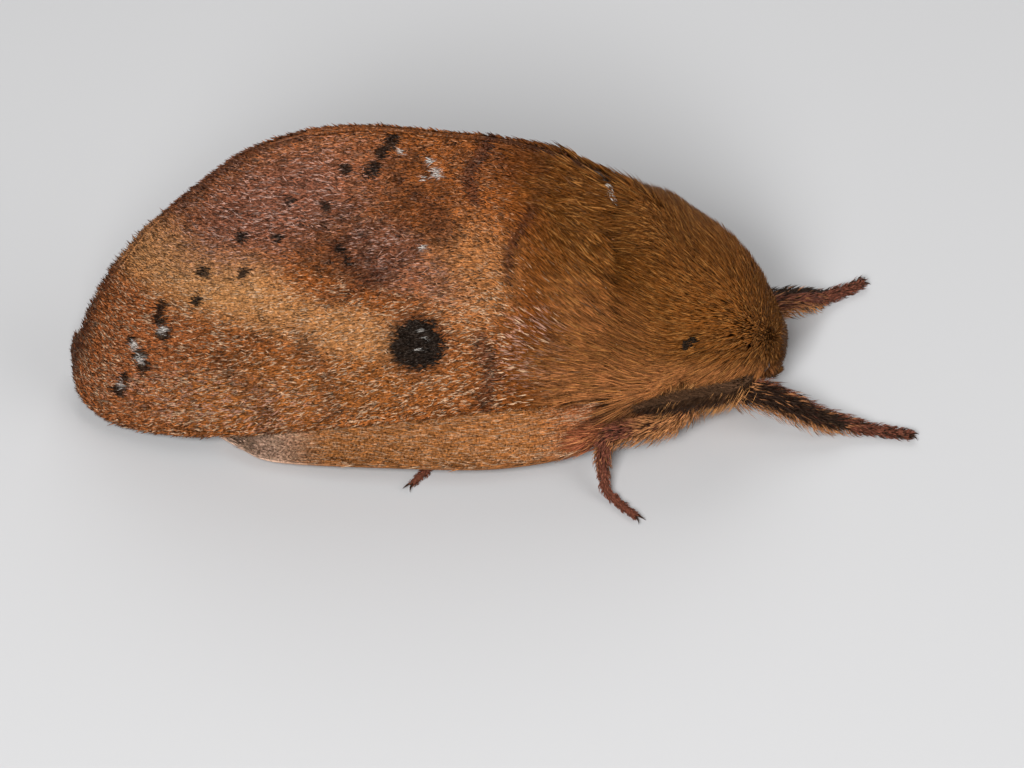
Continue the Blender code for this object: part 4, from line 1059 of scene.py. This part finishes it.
def makeClaws(name, path):
    # two hooks: a quarter of a circle each, thinning to a point
    forward = unit((path[-1] - path[-4]) * (1, 1, 0))
    level = np.cross(forward, [0, 0, 1.0])
    t = np.linspace(0, 1, legLook["clawRows"])
    for word, turn in (("a", 1), ("b", -1)):
        out = forward * legLook["clawLength"] * np.sin(t * 1.5)[:, None]
        out = out + level * turn * (0.05 + 0.16 * t)[:, None]
        hook = path[-1] + out + np.array([0, 0, 1.0]) * (0.06 - 0.16 * t**2)[:, None]
        hook[:, 2] = np.maximum(hook[:, 2], 0.05)
        rings, _, _ = tubeRings(hook, legLook["clawRadius"] * (1.05 - t), 8)
        makeTube(f"claw_{name}_{word}", rings, skinFinish, plain(legLook["claw"], hook.shape))


for legName, legPath in legs.items():
    makeLeg(legName, legPath)
print("legs made")


antenna = {
    "path": ((14.6, 1.1, 2.9), (14.4, 1.9, 2.7), (13.9, 2.9, 2.75), (13.0, 3.75, 2.95), (11.6, 4.5, 3.25),
             (10.2, 5.0, 3.3), (9.1, 5.25, 3.2)),
    # along it from the head: the share of its length, its radius and how far its comb reaches
    "radius": ((0, 0.1), (0.05, 0.17), (0.3, 0.17), (0.8, 0.12), (1, 0.05)),
    "reach": ((0, 0.1), (0.2, 0.25), (0.35, 0.75), (0.8, 0.7), (1, 0.3)),
    "grey": "#3b271a", "dark": "#1f140d", "pale": "#6b4a35",
    "tufts": 5200, "toothWidth": 0.055, "rows": 80, "sides": 12,
}


def feelerRings(look, side):
    path = spline(look["path"], look["rows"]) * np.array([1, side, 1])
    radii = np.interp(np.linspace(0, 1, len(path)), *zip(*look["radius"]))
    return tubeRings(path, radii, look["sides"])


def makeAntenna(word, side):
    rings, normals, ahead = feelerRings(antenna, side)
    skin = makeTube(f"antennaSkin_{word}", rings, skinFinish, plain(antenna["dark"], ahead.shape))
    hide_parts(f"antenna_{word}")
    roots, _, u, v = scatter(rings, normals, antenna["tufts"])
    # the comb's teeth stand up and down
    upright = np.where(rng.random(len(u))[:, None] < 0.5, 1, -1) * np.array([0, 0, 1.0])
    outward = unit(upright + np.array([0, side * 0.25, 0]) + rng.normal(0, 0.12, roots.shape))
    reach = np.interp(u, *zip(*antenna["reach"]))
    colours = mix(plain(antenna["grey"], roots.shape), antenna["pale"], (rng.random(len(u)) > 0.85) * 0.6)
    sizes = reach * 0.9, antenna["toothWidth"], reach * rng.uniform(0.3, 1.0, len(u))
    makeScales(f"antennaComb_{word}", roots, outward, aheadAt(ahead, u), sizes,
               varied(colours, 0.6, 1.3), mapPlace(u, v), pileFinish)


palp = {
    "path": ((14.6, 0.48, 1.7), (14.9, 0.5, 1.38), (15.1, 0.52, 1.27), (15.38, 0.54, 1.4)),
    "radius": ((0, 0.2), (0.5, 0.26), (1, 0.08)),
    "brown": "#5c3a1c", "skinShade": 0.6, "tufts": 1200, "tuftWidth": 0.06, "rows": 24, "sides": 12,
}


def makePalp(word, side):
    rings, normals, ahead = feelerRings(palp, side)
    ground = plain(palp["brown"], ahead.shape) * palp["skinShade"]
    skin = makeTube(f"palpSkin_{word}", rings, skinFinish, ground)
    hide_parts(f"palp_{word}")
    roots, outward, u, v = scatter(rings, normals, palp["tufts"])
    lies = aheadAt(ahead, u) + rng.normal(0, 0.15, roots.shape)
    sizes = rng.uniform(0.2, 0.4, len(u)), palp["tuftWidth"], rng.uniform(0.03, 0.14, len(u))
    colours = varied(plain(palp["brown"], roots.shape), 0.6, 1.4)
    makeScales(f"palpHair_{word}", roots, outward, lies, sizes, colours, mapPlace(u, v),
               pileFinish)


def eyeMaterial():
    # a compound eye: thousands of tiny lenses under a glossy clear cuticle
    made, tree, shader = newMaterial("compoundEyeCuticle", 0.18, 0.6)
    shader.inputs["Base Color"].default_value = (*linear(eye["black"]), 1)
    place = addNode(tree, "ShaderNodeTexCoord").outputs["Object"]
    cells = addNode(tree, "ShaderNodeTexVoronoi", {"Scale": 1 / (eye["facet"] * mm)}, {"Vector": place})
    depth = {"Strength": 0.4, "Distance": 0.01 * mm}
    raised = addNode(tree, "ShaderNodeBump", depth, {"Height": cells.outputs["Distance"]})
    raised.invert = True
    tree.links.new(raised.outputs["Normal"], shader.inputs["Normal"])
    return made


eyeFinish = eyeMaterial()


def makeEye(word, side):
    # a sphere from two angles
    a = np.linspace(0.02, math.pi - 0.02, eye["rows"])
    a, b = np.meshgrid(a, np.linspace(0, 2 * math.pi, eye["sides"] + 1), indexing="ij")
    points = np.stack([-np.cos(a), np.sin(a) * np.sin(b), np.sin(a) * np.cos(b)], -1) * eye["radius"]
    points = points + np.array(eye["at"]) * (1, side, 1)
    piece = makeTube(f"eyeLens_{word}", points, eyeFinish, np.zeros((eye["rows"], 3)))
    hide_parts(f"eye_{word}")


for sideWord, sideSign in sides:
    makeAntenna(sideWord, sideSign)
    makePalp(sideWord, sideSign)
    makeEye(sideWord, sideSign)
print("antennae, palps and eyes made")


# floor, light and camera
view = {
    "turn": 0.0,  # degrees round the moth from its right side
    "raise": 42.0,  # degrees above the floor
    "aim": (3.63, 0.0, -0.06),  # the picture's middle, in the moth's frame
    "width": 45.36,  # what the picture's width holds there, mm
    "lens": 600.0,
    "sensor": 36.0,
    "floorColour": "#c7c7c8",
    "floorSize": 600.0,
    "roomLight": 0.16,
}
lights = (
    # name, place in mm, size in mm, watts
    ("keyLight", (-40, -200, 170), 90, 0.75),
    ("fillLight", (170, -60, 150), 160, 0.16),
    ("backLight", (0, 180, 180), 160, 0.22),
)


def makeFloor():
    # plain matt paper
    made, _, shader = newMaterial("mattPaper", 0.9)
    shader.inputs["Base Color"].default_value = (*linear(view["floorColour"]), 1)
    half = view["floorSize"] / 2
    points = np.array([(-half, -half, 0), (half, -half, 0), (half, half, 0), (-half, half, 0)]) + mothCentre
    floor = makeMesh("floor", points, [(0, 1, 2), (0, 2, 3)], made, smooth=False)
    floor.parent = None


def makeLights():
    for name, place, size, watts in lights:
        data = bpy.data.lights.new(name, "AREA")
        data.energy = watts
        data.size = size * mm
        lamp = bpy.data.objects.new(name, data)
        lamp.visible_camera = False
        lamp.location = Vector(place) * mm
        lamp.rotation_euler = Vector(place).to_track_quat("Z", "Y").to_euler()
        scene.collection.objects.link(lamp)
    world = bpy.data.worlds.new("softRoom")
    world.use_nodes = True
    background = world.node_tree.nodes["Background"]
    background.inputs["Color"].default_value = (1, 1, 1, 1)
    background.inputs["Strength"].default_value = view["roomLight"]
    scene.world = world
    scene.view_settings.view_transform = "Standard"


def makeCamera():
    # camera back vector = (sin a cos e, -cos a cos e, sin e), at the distance that fits the width
    turn, up = math.radians(view["turn"]), math.radians(view["raise"])
    back = Vector((math.sin(turn) * math.cos(up), -math.cos(turn) * math.cos(up), math.sin(up)))
    data = bpy.data.cameras.new("camera")
    data.lens = view["lens"]
    data.sensor_width = view["sensor"]
    data.clip_start = 0.01
    camera = bpy.data.objects.new("camera", data)
    scene.collection.objects.link(camera)
    distance = view["width"] * mm * view["lens"] / view["sensor"]
    camera.location = Vector(inMetres(view["aim"])) + back * distance
    camera.rotation_euler = back.to_track_quat("Z", "Y").to_euler()
    scene.camera = camera


makeFloor()
makeLights()
makeCamera()
